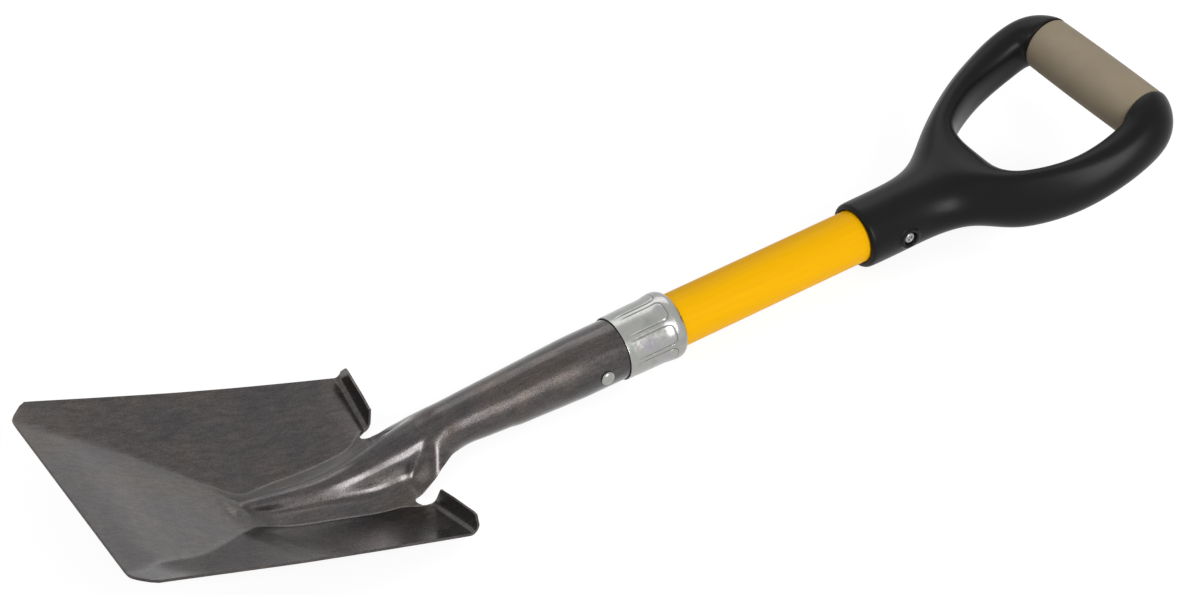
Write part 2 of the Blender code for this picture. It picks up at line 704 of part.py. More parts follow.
def build():
    clear_scene()
    head = make("blade_and_socket", head_sheet(), ((0.10, 0.095, 0.10), 0.85, 0.42))

    wall = SHAFT_R - SHAFT_WALL
    tube = [(SHAFT_S0, SHAFT_R), (SHAFT_S1, SHAFT_R), (SHAFT_S1, wall), (SHAFT_S0, wall)]
    shaft = make("shaft_tube", lathe(tube, 32, AXIS_O, AX, ACROSS, UP),
                 ((0.90, 0.47, 0.0), 0.0, 0.30))

    peg = wall - FIT
    wood = ((0.50, 0.33, 0.17), 0.0, 0.7)
    start = SHAFT_S0 + DOWEL_IN
    low = make("head_end_dowel",
               turned(rod(start, start + DOWEL_LEN, peg), 24, AXIS_O, AX, ACROSS, UP), wood)
    start = SHAFT_S1 - DOWEL_IN - DOWEL_LEN
    high = make("grip_end_dowel",
                turned(rod(start, start + DOWEL_LEN, peg), 24, AXIS_O, AX, ACROSS, UP), wood)

    ferrule = make("ferrule", lathe(ferrule_profile(), 32, AXIS_O, AX, ACROSS, UP),
                   ((0.62, 0.64, 0.63), 1.0, 0.25))

    # The rivet crosses the socket, the shaft and the dowel and is domed at both ends
    seat = SOCKET_R_MOUTH + FIT
    dome = []
    for i in range(1, 5):
        a = math.pi / 2 * i / 5
        dome.append((seat + 0.25 + RIVET_DOME * math.cos(a), RIVET_HEAD_R * math.sin(a)))
    half = dome + [(seat + 0.25, RIVET_HEAD_R), (seat, RIVET_HEAD_R), (seat, RIVET_SHANK_R)]
    crown = seat + 0.25 + RIVET_DOME
    rivet_profile = [(-crown, 0.0)] + [(-a, r) for a, r in half]
    rivet_profile += [(a, r) for a, r in reversed(half)] + [(crown, 0.0)]
    rivet = make("head_rivet",
                 turned(rivet_profile, 24, at(RIVET_S), ACROSS, AX, UP),
                 ((0.66, 0.68, 0.69), 1.0, 0.25))
    hole = cutter("cut_rivet", rod(-26, 26, RIVET_SHANK_R + FIT), at(RIVET_S), ACROSS, AX, UP)
    for ob in (head, shaft, low):
        boolean(ob, hole, "DIFFERENCE")

    # The grip, smoothed from a cage, with a boss for the screw and a blind bore
    grip = make("d_grip", grip_cage(), ((0.028, 0.026, 0.027), 0.0, 0.38))
    outward(grip)
    sub = grip.modifiers.new("round", "SUBSURF")
    sub.levels = 1
    sub.render_levels = 1
    boss = cutter("add_boss", rod(-BOSS_Y, -COLLAR_R + 4.0, BOSS_R), at(SCREW_S),
                  ACROSS, AX, UP, 20)
    boolean(grip, boss, "UNION")
    bore = cutter("cut_bore", rod(GRIP_S0 - 8, GRIP_S0 + BORE_DEPTH, SHAFT_R + FIT),
                  AXIS_O, AX, ACROSS, UP, 32)
    boolean(grip, bore, "DIFFERENCE")
    step = -BOSS_Y + RECESS_DEPTH
    stepped = [(-30, 0.0), (-30, RECESS_R), (step, RECESS_R), (step, SCREW_SHANK_R + FIT),
               (10, SCREW_SHANK_R + FIT), (10, 0.0)]
    pilot = cutter("cut_screw", stepped, at(SCREW_S), ACROSS, AX, UP, 20)
    for ob in (grip, shaft, high):
        boolean(ob, pilot, "DIFFERENCE")

    floor = step - FIT
    head_top = floor - 1.6
    screw_profile = [(head_top + 0.5, 0.0), (head_top + 0.5, 1.1), (head_top, 1.5),
                     (head_top, 2.9), (head_top + 0.5, SCREW_HEAD_R), (floor, SCREW_HEAD_R),
                     (floor, SCREW_SHANK_R), (7.5, SCREW_SHANK_R), (9.4, 0.4), (9.5, 0.0)]
    screw = make("grip_screw", turned(screw_profile, 20, at(SCREW_S), ACROSS, AX, UP),
                 ((0.60, 0.60, 0.58), 1.0, 0.3))

    bar_in = BAR_R + FIT
    sleeve_profile = []
    for i in range(9):
        y = -SLEEVE_HALF + 2 * SLEEVE_HALF * i / 8
        barrel = SLEEVE_BARREL * (1 - (y / SLEEVE_HALF) ** 2)
        sleeve_profile.append((y, SLEEVE_R + barrel))
    sleeve_profile += [(SLEEVE_HALF, bar_in), (-SLEEVE_HALF, bar_in)]
    centre = at(GRIP_BAR_S, 0.0, GRIP_LIFT)
    sleeve = make("grip_sleeve", lathe(sleeve_profile, 32, centre, ACROSS, AX, UP),
                  ((0.27, 0.22, 0.155), 0.0, 0.75))
    pieces = (head, shaft, low, high, ferrule, rivet, screw, sleeve)
    for ob in pieces:
        outward(ob)
    settle(pieces + (grip,))


build()
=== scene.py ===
import math

import bmesh
import bpy
import numpy as np
from mathutils import Matrix, Vector
from mathutils.bvhtree import BVHTree


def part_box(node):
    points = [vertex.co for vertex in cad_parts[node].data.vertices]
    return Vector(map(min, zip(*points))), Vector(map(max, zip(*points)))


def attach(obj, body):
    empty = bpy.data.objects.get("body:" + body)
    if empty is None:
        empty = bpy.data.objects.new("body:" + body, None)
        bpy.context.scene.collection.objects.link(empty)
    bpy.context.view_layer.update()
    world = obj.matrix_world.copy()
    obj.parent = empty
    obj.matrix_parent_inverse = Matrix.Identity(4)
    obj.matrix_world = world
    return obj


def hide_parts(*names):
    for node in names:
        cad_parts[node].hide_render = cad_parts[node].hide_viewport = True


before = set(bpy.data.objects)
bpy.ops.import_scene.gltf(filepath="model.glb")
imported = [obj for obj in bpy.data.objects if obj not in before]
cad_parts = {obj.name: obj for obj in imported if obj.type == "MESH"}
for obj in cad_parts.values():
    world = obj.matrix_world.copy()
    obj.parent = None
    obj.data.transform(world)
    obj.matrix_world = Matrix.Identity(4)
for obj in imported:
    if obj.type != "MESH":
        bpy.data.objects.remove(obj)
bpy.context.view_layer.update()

# Camera, worked out from the photograph, in the row frame
CAMERA_AT = Vector((-0.69557521, -0.99853673, 1.07649837))
CAMERA_AZIMUTH = math.radians(-33.6083)
CAMERA_ELEVATION = math.radians(40.2196)
CAMERA_ROLL = math.radians(0.1390)
CAMERA_LENS_MM = 87.7787
CAMERA_SENSOR_MM = 36.0
CAMERA_CLIP_END = 50.0

# Sizes in millimetres, in the blade frame: origin just before the middle of the cutting edge,
# +X back to the grip, +Z the hollow side. They repeat the sizes of the CAD part.
MM_PER_M = 1000.0
FIT = 0.3

# Sheet of the head, its front corners and its outline
SHEET = 1.5
TIP_X = 1.1
TIP_HALF_W = 67.0
FRONT_HALF_W = 76.2
REAR_HALF_W = 72.7
CORNER_CUT = 11.0
CORNER_SOFT = 1.2  # softness of the kink where the cut starts
CORNER_MARGIN = 1.6  # side strip that falls back a little more
CORNER_FALL = 0.9
CORNER_FADE_X = 25.0  # the rows lose the form of the cut by here

# Treads: the turned-up rear edges
TREAD_BEND_R = 3.9
TREAD_TURN = math.radians(99.0)
TREAD_RISE_IN = 8.2
TREAD_RISE_OUT = 6.4
TREAD_CORNER_R = 5.5
TREAD_INNER_SHIFT = 3.4
TREAD_OUTER_SHIFT = 1.5
TREAD_SHIFT_RUN = 14.0

# Round notches between treads and neck
NOTCH_X = 199.4
NOTCH_Y = 30.6
NOTCH_R = 3.9
NOTCH_FADE_X = 186.0  # the rows take the form of the notch from here

# Neck: the sections turn from the blade's to the socket's
BLADE_END_X = 204.4
TILT_FROM_X = 198.0
TILT_RUN = 32.0
NECK_BLEND_RUN = 12.0
NECK_EXTRA_TILT = math.radians(2.0)
TONGUE_BLEND_RUN = 9.0
CLOSE_X = 252.0
SEAM = 0.8

# Shaft and socket, s measured along their common axis
SHAFT_R = 15.85
SHAFT_WALL = 3.2
SHAFT_CHAMFER = 0.3
SHAFT_S0 = 70.5
SHAFT_LEN = 235.5
SHAFT_S1 = SHAFT_S0 + SHAFT_LEN
CRANK = math.radians(24.08)
AXIS_X = 238.75
AXIS_Z = 27.2
SOCKET_R_MOUTH = SHAFT_R + FIT + SHEET + 0.3
SOCKET_TAPER = 4.3
SOCKET_NECK_S = -31.5
SOCKET_FULL_S = SHAFT_S0 - 3.5
SOCKET_MOUTH_S = SHAFT_S0 + 45.5

# Ferrule and the panels pressed into it
FERRULE_T = 0.5
FERRULE_HOLD = 22.8
FERRULE_LONG = 15.6
FERRULE_R0 = SOCKET_R_MOUTH + FIT + FERRULE_T
FERRULE_FLARE = 0.35
FERRULE_LIP = 1.25
PANELS = 8
PANEL_ANGLE = math.radians(63.1)
PANEL_HALF_W = 5.9
PANEL_CORNER = 3.6
PANEL_END = 8.0  # past the mouth of the socket
PANEL_FADE_FROM = 3.0  # past the ferrule's own edge
PANEL_FADE_RUN = 7.0
PANEL_RAISE = 0.16
PANEL_STEP_SOFT = 0.25
PANEL_LEAST_R = SHAFT_R + 2.0  # within this the lip closes, without panels
GROOVE_DEPTH = 0.30
GROOVE_HALF_W = 0.42

# Rivet, and screw with the ring round it
RIVET_S = SHAFT_S0 + 7.2
RIVET_HEAD_R = 4.2
RIVET_DOME = 1.7
RIVET_SINK = 0.1
RIVET_RIM = 0.45
RIVET_ROUND_POWER = 0.94
SCREW_HEAD_R = 3.7
SCREW_HEAD_H = 1.6
SCREW_IN = 25.8
BOSS_RISE = 1.2
RECESS_R = 4.4
RECESS_DEPTH = 2.6
GRIP_HOLE_M = 0.0056  # the collar's faces this near to the screw are cut out

# D-grip and sleeve
BORE_DEPTH = 48.7
BORE_SPARE = 3.0
GRIP_S0 = SHAFT_S1 + BORE_SPARE - BORE_DEPTH
COLLAR_R = SHAFT_R + FIT + 3.85
SCREW_S = GRIP_S0 + SCREW_IN
BOSS_Y = COLLAR_R + BOSS_RISE
GRIP_LEN = 178.9
FORK_LEN = 65.7
GRIP_LIFT = 35.0
GRIP_STRAIGHT = 25.7
GRIP_BEND_POWER = 1.6
BAR_R = 13.7
SLEEVE_R = BAR_R + FIT + 2.75
SLEEVE_BARREL = 0.35
SLEEVE_INSET = 0.02  # keeps the skin just inside the CAD sleeve
SLEEVE_ROUND = 0.35
SLEEVE_ROUND_RUN = 0.5
SLEEVE_HALF = 43.3
GRIP_BAR_S = GRIP_S0 + GRIP_LEN

# Rounding of the sheet's edges
EDGE_ROUND_M = 0.0003
EDGE_ANGLE = math.radians(50.0)
EDGE_SEGMENTS = 2

# Fineness of the turned pieces and the grip
SHAFT_ROUND = 192
SHAFT_RINGS = 60
FERRULE_ROUND = 640
FERRULE_STEP = 0.33
SLEEVE_SIDES = 160
SLEEVE_RINGS = 60
SMALL_ROUND = 72
DOME_STEPS = 16
SCREW_STEP = 0.12
BOSS_ROUND = 96
GRIP_LEVELS = 4
CAGE = 12
CAGE_SPARE = 1.035  # the cage is this much wider than the round it makes
FORK_LOW = 9  # lowest point of a ring of the cage

# Pitch of the blade as the tool lies on its treads and the ferrule's lip
LAY_PITCH = math.radians(22.11)

# Floor and lamps: metres, degrees, watts
FLOOR_HALF = 3.0
FLOOR_Z = -0.0005
FLOOR_PAPER = 0.80
FLOOR_SHADE = 0.25
FLOOR_GLOW = 0.86
ROOM_STOPS = ((0.0, 0.12), (0.25, 0.18), (0.6, 0.38), (1.0, 0.55))  # grey by height
LAMP_TARGET = Vector((0.0, 0.0, 0.03))

# Name, azimuth, elevation, distance, width, height, power
LAMPS = (("key", 2.0, 29.0, 2.2, 0.55, 1.30, 30.0),
         ("back_top", 150.0, 45.0, 2.4, 1.6, 1.2, 8.0),
         ("left_fill", -95.0, 40.0, 2.6, 1.6, 1.4, 7.0))

AX = np.array([math.cos(CRANK), 0.0, math.sin(CRANK)])
UP = np.array([-math.sin(CRANK), 0.0, math.cos(CRANK)])
ACROSS = np.array([0.0, 1.0, 0.0])
AXIS_O = np.array([AXIS_X, 0.0, AXIS_Z])


def smoothstep(t):
    """0 to 1 with a level start and end."""
    t = min(1.0, max(0.0, t))
    return t * t * (3 - 2 * t)


def at(s, y=0.0, h=0.0):
    """Point at distance s along the shaft axis, y across and h above it."""
    return AXIS_O + AX * s + ACROSS * y + UP * h


def lay(points):
    """Turn points of the blade frame the way the tool lies on the floor."""
    p = np.asarray(points, float)
    c, s = math.cos(LAY_PITCH), math.sin(LAY_PITCH)
    return np.stack([p[:, 0] * c + p[:, 2] * s, p[:, 1], p[:, 2] * c - p[:, 0] * s], 1)


def find_shift():
    """Where the blade frame's origin lies in the row frame, from the CAD shaft's box."""
    low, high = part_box("shaft_tube")
    middle = lay([at((SHAFT_S0 + SHAFT_S1) / 2)])[0]
    return np.array((low + high) / 2) - middle / MM_PER_M


SHIFT = find_shift()


def place(points):
    """Points of the blade frame as metres of the row frame."""
    return lay(points) / MM_PER_M + SHIFT


class Curve:
    """Smooth function through a table of places and values, softened over a short run."""

    STEP = 0.5

    def __init__(self, table, soften=8):
        xs = np.array([p[0] for p in table], float)
        ys = np.array([p[1] for p in table], float)
        h = np.diff(xs)
        d = np.diff(ys) / h
        m = np.concatenate([[d[0]], np.zeros(len(xs) - 2), [d[-1]]])
        for i in range(1, len(xs) - 1):
            if d[i - 1] * d[i] > 0:
                w1 = 2 * h[i] + h[i - 1]
                w2 = h[i] + 2 * h[i - 1]
                m[i] = (w1 + w2) / (w1 / d[i - 1] + w2 / d[i])
        pad = soften * self.STEP
        grid = np.arange(xs[0] - pad, xs[-1] + pad + self.STEP / 2, self.STEP)
        i = np.clip(np.searchsorted(xs, grid) - 1, 0, len(h) - 1)
        t = (grid - xs[i]) / h[i]
        y = ((1 + 2 * t) * (1 - t) ** 2 * ys[i] + t * (1 - t) ** 2 * h[i] * m[i]
             + t * t * (3 - 2 * t) * ys[i + 1] + t * t * (t - 1) * h[i] * m[i + 1])
        before, after = grid < xs[0], grid > xs[-1]
        y[before] = ys[0] + m[0] * (grid[before] - xs[0])
        y[after] = ys[-1] + m[-1] * (grid[after] - xs[-1])
        if soften:
            weight = np.hanning(2 * soften + 3)[1:-1]
            y = np.convolve(y, weight / weight.sum(), mode="valid")
            grid = grid[soften:-soften]
        self.x, self.y = grid, y

    def __call__(self, x):
        return float(np.interp(x, self.x, self.y))


def taper(k):
    """Half width of the blade at the share k of its length."""
    return FRONT_HALF_W + (REAR_HALF_W - FRONT_HALF_W) * k


# Shape of the blade: heights, side distances, radii and slopes at places x
floor_z = Curve(((0, -1.6), (22, -4.8), (46, -10.1), (62, -13.2), (78, -16.3), (94, -19.4),
                 (105, -21.5), (112, -22.9), (118, -23.5), (126, -23.0), (138, -21.1), (150, -19.1),
                 (162, -16.9), (174, -14.3), (180, -12.7), (186, -10.2), (192, -7.0), (199, -3.8),
                 (201, -3.4)))
edge_z = Curve(((0, 0.6), (12, 1.8), (86, 1.9), (129, 2.7), (172, 4.1), (203, 5.3)))
edge_y = Curve(((0, FRONT_HALF_W + 0.3), (12, FRONT_HALF_W), (86, taper(0.43)),
                (129, taper(0.69)), (203, REAR_HALF_W)))
foot_y = Curve(((0, 15), (60, 10), (100, 4.0), (104, 4.5), (112, 6.0), (120, 7.2), (136, 9.6),
                (150, 11.4), (165, 13.8), (180, 17.0), (190, 19.5), (199, 21.3), (201, 21.3)))
tongue_y = Curve(((0, 34), (60, 22), (94, 12), (104, 9.0), (112, 9.4), (120, 10.3), (136, 13.4),
                  (150, 15.2), (165, 17.8), (180, 21.4), (190, 24.8), (201, NOTCH_Y - NOTCH_R)))
crease_y = Curve(((0, 62), (6, 60), (22, 52), (38, 47), (54, 41.5), (70, 33.5), (86, 25.0),
                  (94, 20.5), (102, 16.2), (108, 13.6), (114, 12.8), (120, 13.3), (126, 15.0),
                  (138, 17.6), (150, 19.2), (162, 21.0), (174, 23.5), (184, 25.2),
                 (190, 27.2), (194, 30.8), (198, 33.8), (201, NOTCH_Y + NOTCH_R)))
crease_r = Curve(((0, 18), (40, 20), (76, 18), (94, 13), (110, 6), (150, 4), (185, 4), (201, 6)))
ridge_z = Curve(((92, -27.0), (101.5, -20.2), (104, -18.9), (108, -17.0), (112, -15.7),
                 (120, -14.3), (128, -12.9), (136, -11.2), (144, -9.4), (152, -7.2), (160, -4.0),
                 (168, 0.0), (176, 5.2), (184.3, 11.2), (192, 16.5), (BLADE_END_X, 25.0)))
strip_slope = Curve(((0, 0), (94, 0), (106, 0.27), (178, 0.3), (190, 0.28), (199, 0.14)))
edge_side = Curve(((NOTCH_X, NOTCH_Y - NOTCH_R), (202.8, 25.4), (206.5, 24.0), (210, 21.2),
                   (215, 16.8), (220, 13.0), (227, 8.9), (237, 4.5), (CLOSE_X, SEAM / 2)), 0)
edge_depth = Curve(((NOTCH_X, 23.45), (202.8, 22.7), (206.5, 20.1), (210, 17.4), (215, 17.3),
                    (220, 19.4), (227, 22.9), (237, 26.2), (CLOSE_X, 28.2)), 0)

RIDGE_FROM = 92.0  # in front of this the middle of the blade is its plain floor
RIDGE_ARC_SHARE = 0.93  # arcs of the ridge's section, against its straight flank
CROWN_SHARE = 0.58  # the crown's share of the two arcs
RIDGE_LEAST = 0.01  # height of the ridge's section where there is no ridge
SPINE_SOFT = 0.25  # softness of the place where the ridge leaves the floor
SLOPE_ROUNDS = 12
AXIS_ROUNDS = 20

# Fineness of the head's mesh: steps across, then rows along
RIDGE_STEPS = 26
STRIP_STEPS = 3
NOTCH_STEPS = 16
CREASE_STEPS = 8
PANEL_STEPS = 12
NOTCH_COLS = RIDGE_STEPS + STRIP_STEPS
BLADE_RUNS = ((TIP_X, 20, 14), (20, 94, 30), (94, 130, 40), (130, 184, 30), (184, NOTCH_X, 16))
TREAD_ROWS = 26
TONGUE_ROWS = 62
SOCKET_ROWS = 40
RELAX_ROUNDS = 6


def ridge_profile(width, height, steps):
    """Half of the ridge section from the crown to its foot: side distance and depth."""
    span = width ** 2 + height ** 2
    reach = RIDGE_ARC_SHARE * span / (2 * height)
    wall = math.sqrt((1 - RIDGE_ARC_SHARE) * span)
    turn = math.atan2(height - reach, width) + math.atan2(reach, wall)
    crown, fillet = reach * CROWN_SHARE, reach * (1 - CROWN_SHARE)
    lengths = (crown * turn, wall, fillet * turn)
    pts = []
    for w in np.linspace(0, sum(lengths), steps + 1):
        if w <= lengths[0]:
            a = w / crown
            pts.append((crown * math.sin(a), crown * (1 - math.cos(a))))
        elif w <= lengths[0] + lengths[1]:
            k = w - lengths[0]
            pts.append((crown * math.sin(turn) + k * math.cos(turn),
                        crown * (1 - math.cos(turn)) + k * math.sin(turn)))
        else:
            a = turn - (w - lengths[0] - lengths[1]) / fillet
            pts.append((width - fillet * math.sin(a), height - fillet * (1 - math.cos(a))))
    return pts


def foot_z(x):
    """Height of the strip beside the ridge, at the foot of the ridge."""
    return floor_z(x) + (crease_y(x) - foot_y(x)) * strip_slope(x)


def spine_z(x):
    """Height of the middle surface along the centre line of the head."""
    low = foot_z(x)
    if x <= RIDGE_FROM:
        return low
    lift = ridge_z(x) - SHEET / 2 - low
    return low + 0.5 * (lift + math.sqrt(lift * lift + SPINE_SOFT))


def section(x):
    """One cross section of the blade at x: (y, z) from the spine to the edge."""
    low, fall = floor_z(x), strip_slope(x)
    spine = spine_z(x)
    foot, tongue, crease = foot_y(x), tongue_y(x), crease_y(x)
    rad, side, top = crease_r(x), edge_y(x), edge_z(x)
    rise = max(spine - foot_z(x), RIDGE_LEAST)
    pts = [(y, spine - h) for y, h in ridge_profile(foot, rise, RIDGE_STEPS)]
    for i in range(1, STRIP_STEPS + 1):
        y = foot + (tongue - foot) * i / STRIP_STEPS
        pts.append((y, low + (crease - y) * fall))
    for i in range(1, NOTCH_STEPS + 1):
        y = tongue + (crease - tongue) * (1 - math.cos(math.pi * i / NOTCH_STEPS)) / 2
        pts.append((y, low + (crease - y) * fall))
    start = math.atan(fall)
    slope = math.atan2(top - low, side - crease)
    # The panel leaves the crease as a tangent of its arc, so its slope is found in rounds
    for _ in range(SLOPE_ROUNDS):
        slope = math.atan2(top - low - rad * (math.cos(start) - math.cos(slope)),
                           side - crease - rad * (math.sin(slope) + math.sin(start)))
    for i in range(1, CREASE_STEPS + 1):
        a = -start + (slope + start) * i / CREASE_STEPS
        pts.append((crease + rad * (math.sin(a) + math.sin(start)),
                    low + rad * (math.cos(start) - math.cos(a))))
    y0, z0 = pts[-1]
    for k in np.linspace(0, 1, PANEL_STEPS + 1)[1:]:
        pts.append((y0 + (side - y0) * k, z0 + (top - z0) * k))
    return pts


def front_start(y):
    """Where the sheet starts at the side distance y: straight edge and cut corners."""
    d = y - TIP_HALF_W
    cut = 0.5 * (d + math.sqrt(d * d + CORNER_SOFT))
    extra = max(0.0, y - (FRONT_HALF_W - CORNER_MARGIN)) * CORNER_FALL
    return min(CORNER_CUT, cut + extra) - 0.5 * (math.sqrt(CORNER_SOFT + TIP_HALF_W ** 2) - TIP_HALF_W)


def socket_radius(s):
    """Outer radius of the socket at s, thinner towards the neck."""
    k = (s - SOCKET_NECK_S) / (SOCKET_FULL_S - SOCKET_NECK_S)
    k = min(1.0, max(0.0, k))
    return SOCKET_R_MOUTH - SOCKET_TAPER * (1 - k)


def station_on_axis(x):
    """Distance s along the shaft whose socket section meets the spine at x."""
    s = (x - AXIS_X) / AX[0]
    for _ in range(AXIS_ROUNDS):
        s = (x - AXIS_X - UP[0] * (socket_radius(s) - SHEET / 2)) / AX[0]
    return s


def spine_point(x):
    """Point of the middle surface on the spine and the tilt of its section plane."""
    tilt = CRANK * smoothstep((x - TILT_FROM_X) / TILT_RUN)
    if x < BLADE_END_X:
        z = spine_z(x)
    else:
        s = station_on_axis(x)
        z = AXIS_Z + AX[2] * s + UP[2] * (socket_radius(s) - SHEET / 2)
        k = smoothstep((x - BLADE_END_X) / NECK_BLEND_RUN)
        line = spine_z(BLADE_END_X) + (x - BLADE_END_X) * math.tan(CRANK + NECK_EXTRA_TILT)
        z = line * (1 - k) + z * k
    return np.array([x, 0.0, z]), tilt


def tongue_section(x):
    """Half section of the socket sheet at spine station x, as 3-D points."""
    base = section(NOTCH_X)[:NOTCH_COLS + 1]
    base = np.array([(y, base[0][1] - z) for y, z in base])
    run = np.concatenate([[0.0], np.cumsum(np.hypot(*np.diff(base, axis=0).T))])
    frac = run / run[-1]
    origin, tilt = spine_point(x)
    r = socket_radius(station_on_axis(x)) - SHEET / 2
    if x >= CLOSE_X:
        end = None
        sweep = math.pi - SEAM / 2 / r
    else:
        end = np.array([edge_side(x), edge_depth(x)])
        sweep = math.atan2(end[0], r - end[1])
    ang = sweep * frac
    arc = np.stack([r * np.sin(ang), r * (1 - np.cos(ang))], 1)
    k = smoothstep((x - NOTCH_X) / TONGUE_BLEND_RUN)
    shape = base * (1 - k) + arc * k
    if end is not None:
        shape = shape + (end - shape[-1]) * (frac ** 3)[:, None]
    down = np.array([math.sin(tilt), 0.0, -math.cos(tilt)])
    return [origin + ACROSS * y + down * h for y, h in shape]


class Sheet:
    """A middle surface of quads that is later given its thickness."""

    def __init__(self):
        self.pts = []
        self.keys = {}
        self.quads = []

    def point(self, p):
        """Number of a point. Where two grids meet they share it."""
        key = (round(p[0], 3), round(p[1], 3), round(p[2], 3))
        if key not in self.keys:
            self.keys[key] = len(self.pts)
            self.pts.append(np.array(p, float))
        return self.keys[key]

    def grid(self, rows, flip=False):
        """Quads between rows of points, without the corners that fall together."""
        ids = [[self.point(p) for p in row] for row in rows]
        for a, b in zip(ids[:-1], ids[1:]):
            for i in range(len(a) - 1):
                q = [a[i], a[i + 1], b[i + 1], b[i]]
                q = [v for n, v in enumerate(q) if v != q[n - 1]]
                if len(q) > 2:
                    self.quads.append(q[::-1] if flip else q)

    def relax(self, rounds):
        """Even out small waves inside the sheet and leave its border where it is."""
        pts = np.array(self.pts)
        pairs = {}
        for q in self.quads:
            for i, a in enumerate(q):
                b = q[(i + 1) % len(q)]
                key = (min(a, b), max(a, b))
                pairs[key] = pairs.get(key, 0) + 1
        ends = np.array(list(pairs))
        border = np.zeros(len(pts), bool)
        border[ends[np.array(list(pairs.values())) == 1].ravel()] = True
        for _ in range(rounds):
            total = np.zeros_like(pts)
            count = np.zeros(len(pts))
            for a, b in ((0, 1), (1, 0)):
                np.add.at(total, ends[:, a], pts[ends[:, b]])
                np.add.at(count, ends[:, a], 1)
            mean = total / count[:, None]
            pts[~border] += (mean - pts)[~border] * 0.5
        self.pts = list(pts)

    def solid(self, thick):
        """Both faces of the sheet, half its thickness off the middle, and its rims."""
        pts = np.array(self.pts)
        normal = np.zeros_like(pts)
        for q in self.quads:
            p = pts[q]
            n = np.cross(p[1] - p[0], p[2] - p[0])
            if len(q) == 4:
                n = n + np.cross(p[2] - p[0], p[3] - p[0])
            n = n / max(np.linalg.norm(n), 1e-12)
            for v in q:
                normal[v] += n
        normal /= np.linalg.norm(normal, axis=1)[:, None]
        count = len(pts)
        verts = np.vstack([pts + normal * thick / 2, pts - normal * thick / 2])
        faces = [list(q) for q in self.quads]
        faces += [[v + count for v in reversed(q)] for q in self.quads]
        edges = {(q[i], q[(i + 1) % len(q)]) for q in self.quads for i in range(len(q))}
        for a, b in edges:
            if (b, a) not in edges:
                faces.append([b, a, a + count, b + count])
        return verts, faces


def blade_rows():
    """Rows of points from the cutting edge to the notches, one half of the blade."""
    stations = np.unique(np.concatenate([np.linspace(*run) for run in BLADE_RUNS]))
    start = [front_start(p[0]) for p in section(0)]
    end_y = [p[0] for p in section(NOTCH_X)]
    rows = []
    for x in stations:
        plain = section(x)
        row = []
        for j in range(len(start)):
            xx = x + max(0.0, start[j]) * max(0.0, 1 - x / CORNER_FADE_X)
            if NOTCH_COLS < j < NOTCH_COLS + NOTCH_STEPS:
                depth = math.sqrt(max(0.0, NOTCH_R ** 2 - (end_y[j] - NOTCH_Y) ** 2))
                xx -= depth * min(1.0, max(0.0, (x - NOTCH_FADE_X) / (NOTCH_X - NOTCH_FADE_X)))
            y, z = plain[j] if xx == x else section(xx)[j]
            row.append(np.array([xx, y, z]))
        rows.append(row)
    return rows


def tread_rows(base):
    """The turned-up step behind the rear edge of the blade."""
    turn_len = TREAD_BEND_R * TREAD_TURN
    inner_y, outer_y = base[0][1], base[-1][1]
    rows = []
    for i in range(TREAD_ROWS + 1):
        row = []
        for p in base:
            share = (p[1] - inner_y) / (outer_y - inner_y)
            full = turn_len + TREAD_RISE_IN + (TREAD_RISE_OUT - TREAD_RISE_IN) * share
            end = full
            into = p[1] - (outer_y - TREAD_CORNER_R)
            if into > 0:
                end -= TREAD_CORNER_R - math.sqrt(max(0.0, TREAD_CORNER_R ** 2 - into ** 2))
            q = end * i / TREAD_ROWS
            a = min(q / TREAD_BEND_R, TREAD_TURN)
            on = max(0.0, q - turn_len)
            dx = TREAD_BEND_R * math.sin(a) + on * math.cos(TREAD_TURN)
            dz = TREAD_BEND_R * (1 - math.cos(a)) + on * math.sin(TREAD_TURN)
            fade_in = max(0.0, 1 - (p[1] - inner_y) / TREAD_SHIFT_RUN)
            fade_out = max(0.0, 1 - (outer_y - p[1]) / TREAD_SHIFT_RUN)
            lean = (TREAD_INNER_SHIFT * fade_in - TREAD_OUTER_SHIFT * fade_out) * (q / full)
            row.append(p + np.array([dx, lean, dz]))
        rows.append(row)
    return rows


def head_mesh():
    """Blade, treads and the tongue that rolls into the socket, in one sheet."""
    blade = blade_rows()
    tread = tread_rows(blade[-1][NOTCH_COLS + NOTCH_STEPS:])
    mouth = AXIS_X + AX[0] * SOCKET_MOUTH_S + UP[0] * (SOCKET_R_MOUTH - SHEET / 2)
    marks = np.concatenate([np.linspace(NOTCH_X, CLOSE_X, TONGUE_ROWS)[1:],
                            np.linspace(CLOSE_X, mouth, SOCKET_ROWS)[1:]])
    tongue = [blade[-1][:NOTCH_COLS + 1]] + [tongue_section(x) for x in marks]
    sheet = Sheet()
    mirror = np.array([1.0, -1.0, 1.0])
    for rows in (blade, tread, tongue):
        sheet.grid(rows)
        sheet.grid([[p * mirror for p in row] for row in rows], flip=True)
    sheet.relax(RELAX_ROUNDS)
    return sheet.solid(SHEET)


def lathe(profile, steps, origin, axis, side, other, shape=None):
    """A closed ring of a profile [(along, radius)...] turned about an axis."""
    along = np.array([p[0] for p in profile])
    radius = np.array([p[1] for p in profile])
    angles = 2 * math.pi * np.arange(steps) / steps
    verts, faces = [], []
    for a in angles:
        r = radius if shape is None else shape(along, radius, a)
        d = side * math.cos(a) + other * math.sin(a)
        verts.append(origin + np.outer(along, axis) + np.outer(r, d))
    count = len(profile)
    for k in range(steps):
        m = (k + 1) % steps
        for i in range(count):
            j = (i + 1) % count
            faces.append([k * count + i, m * count + i, m * count + j, k * count + j])
    return np.vstack(verts), faces


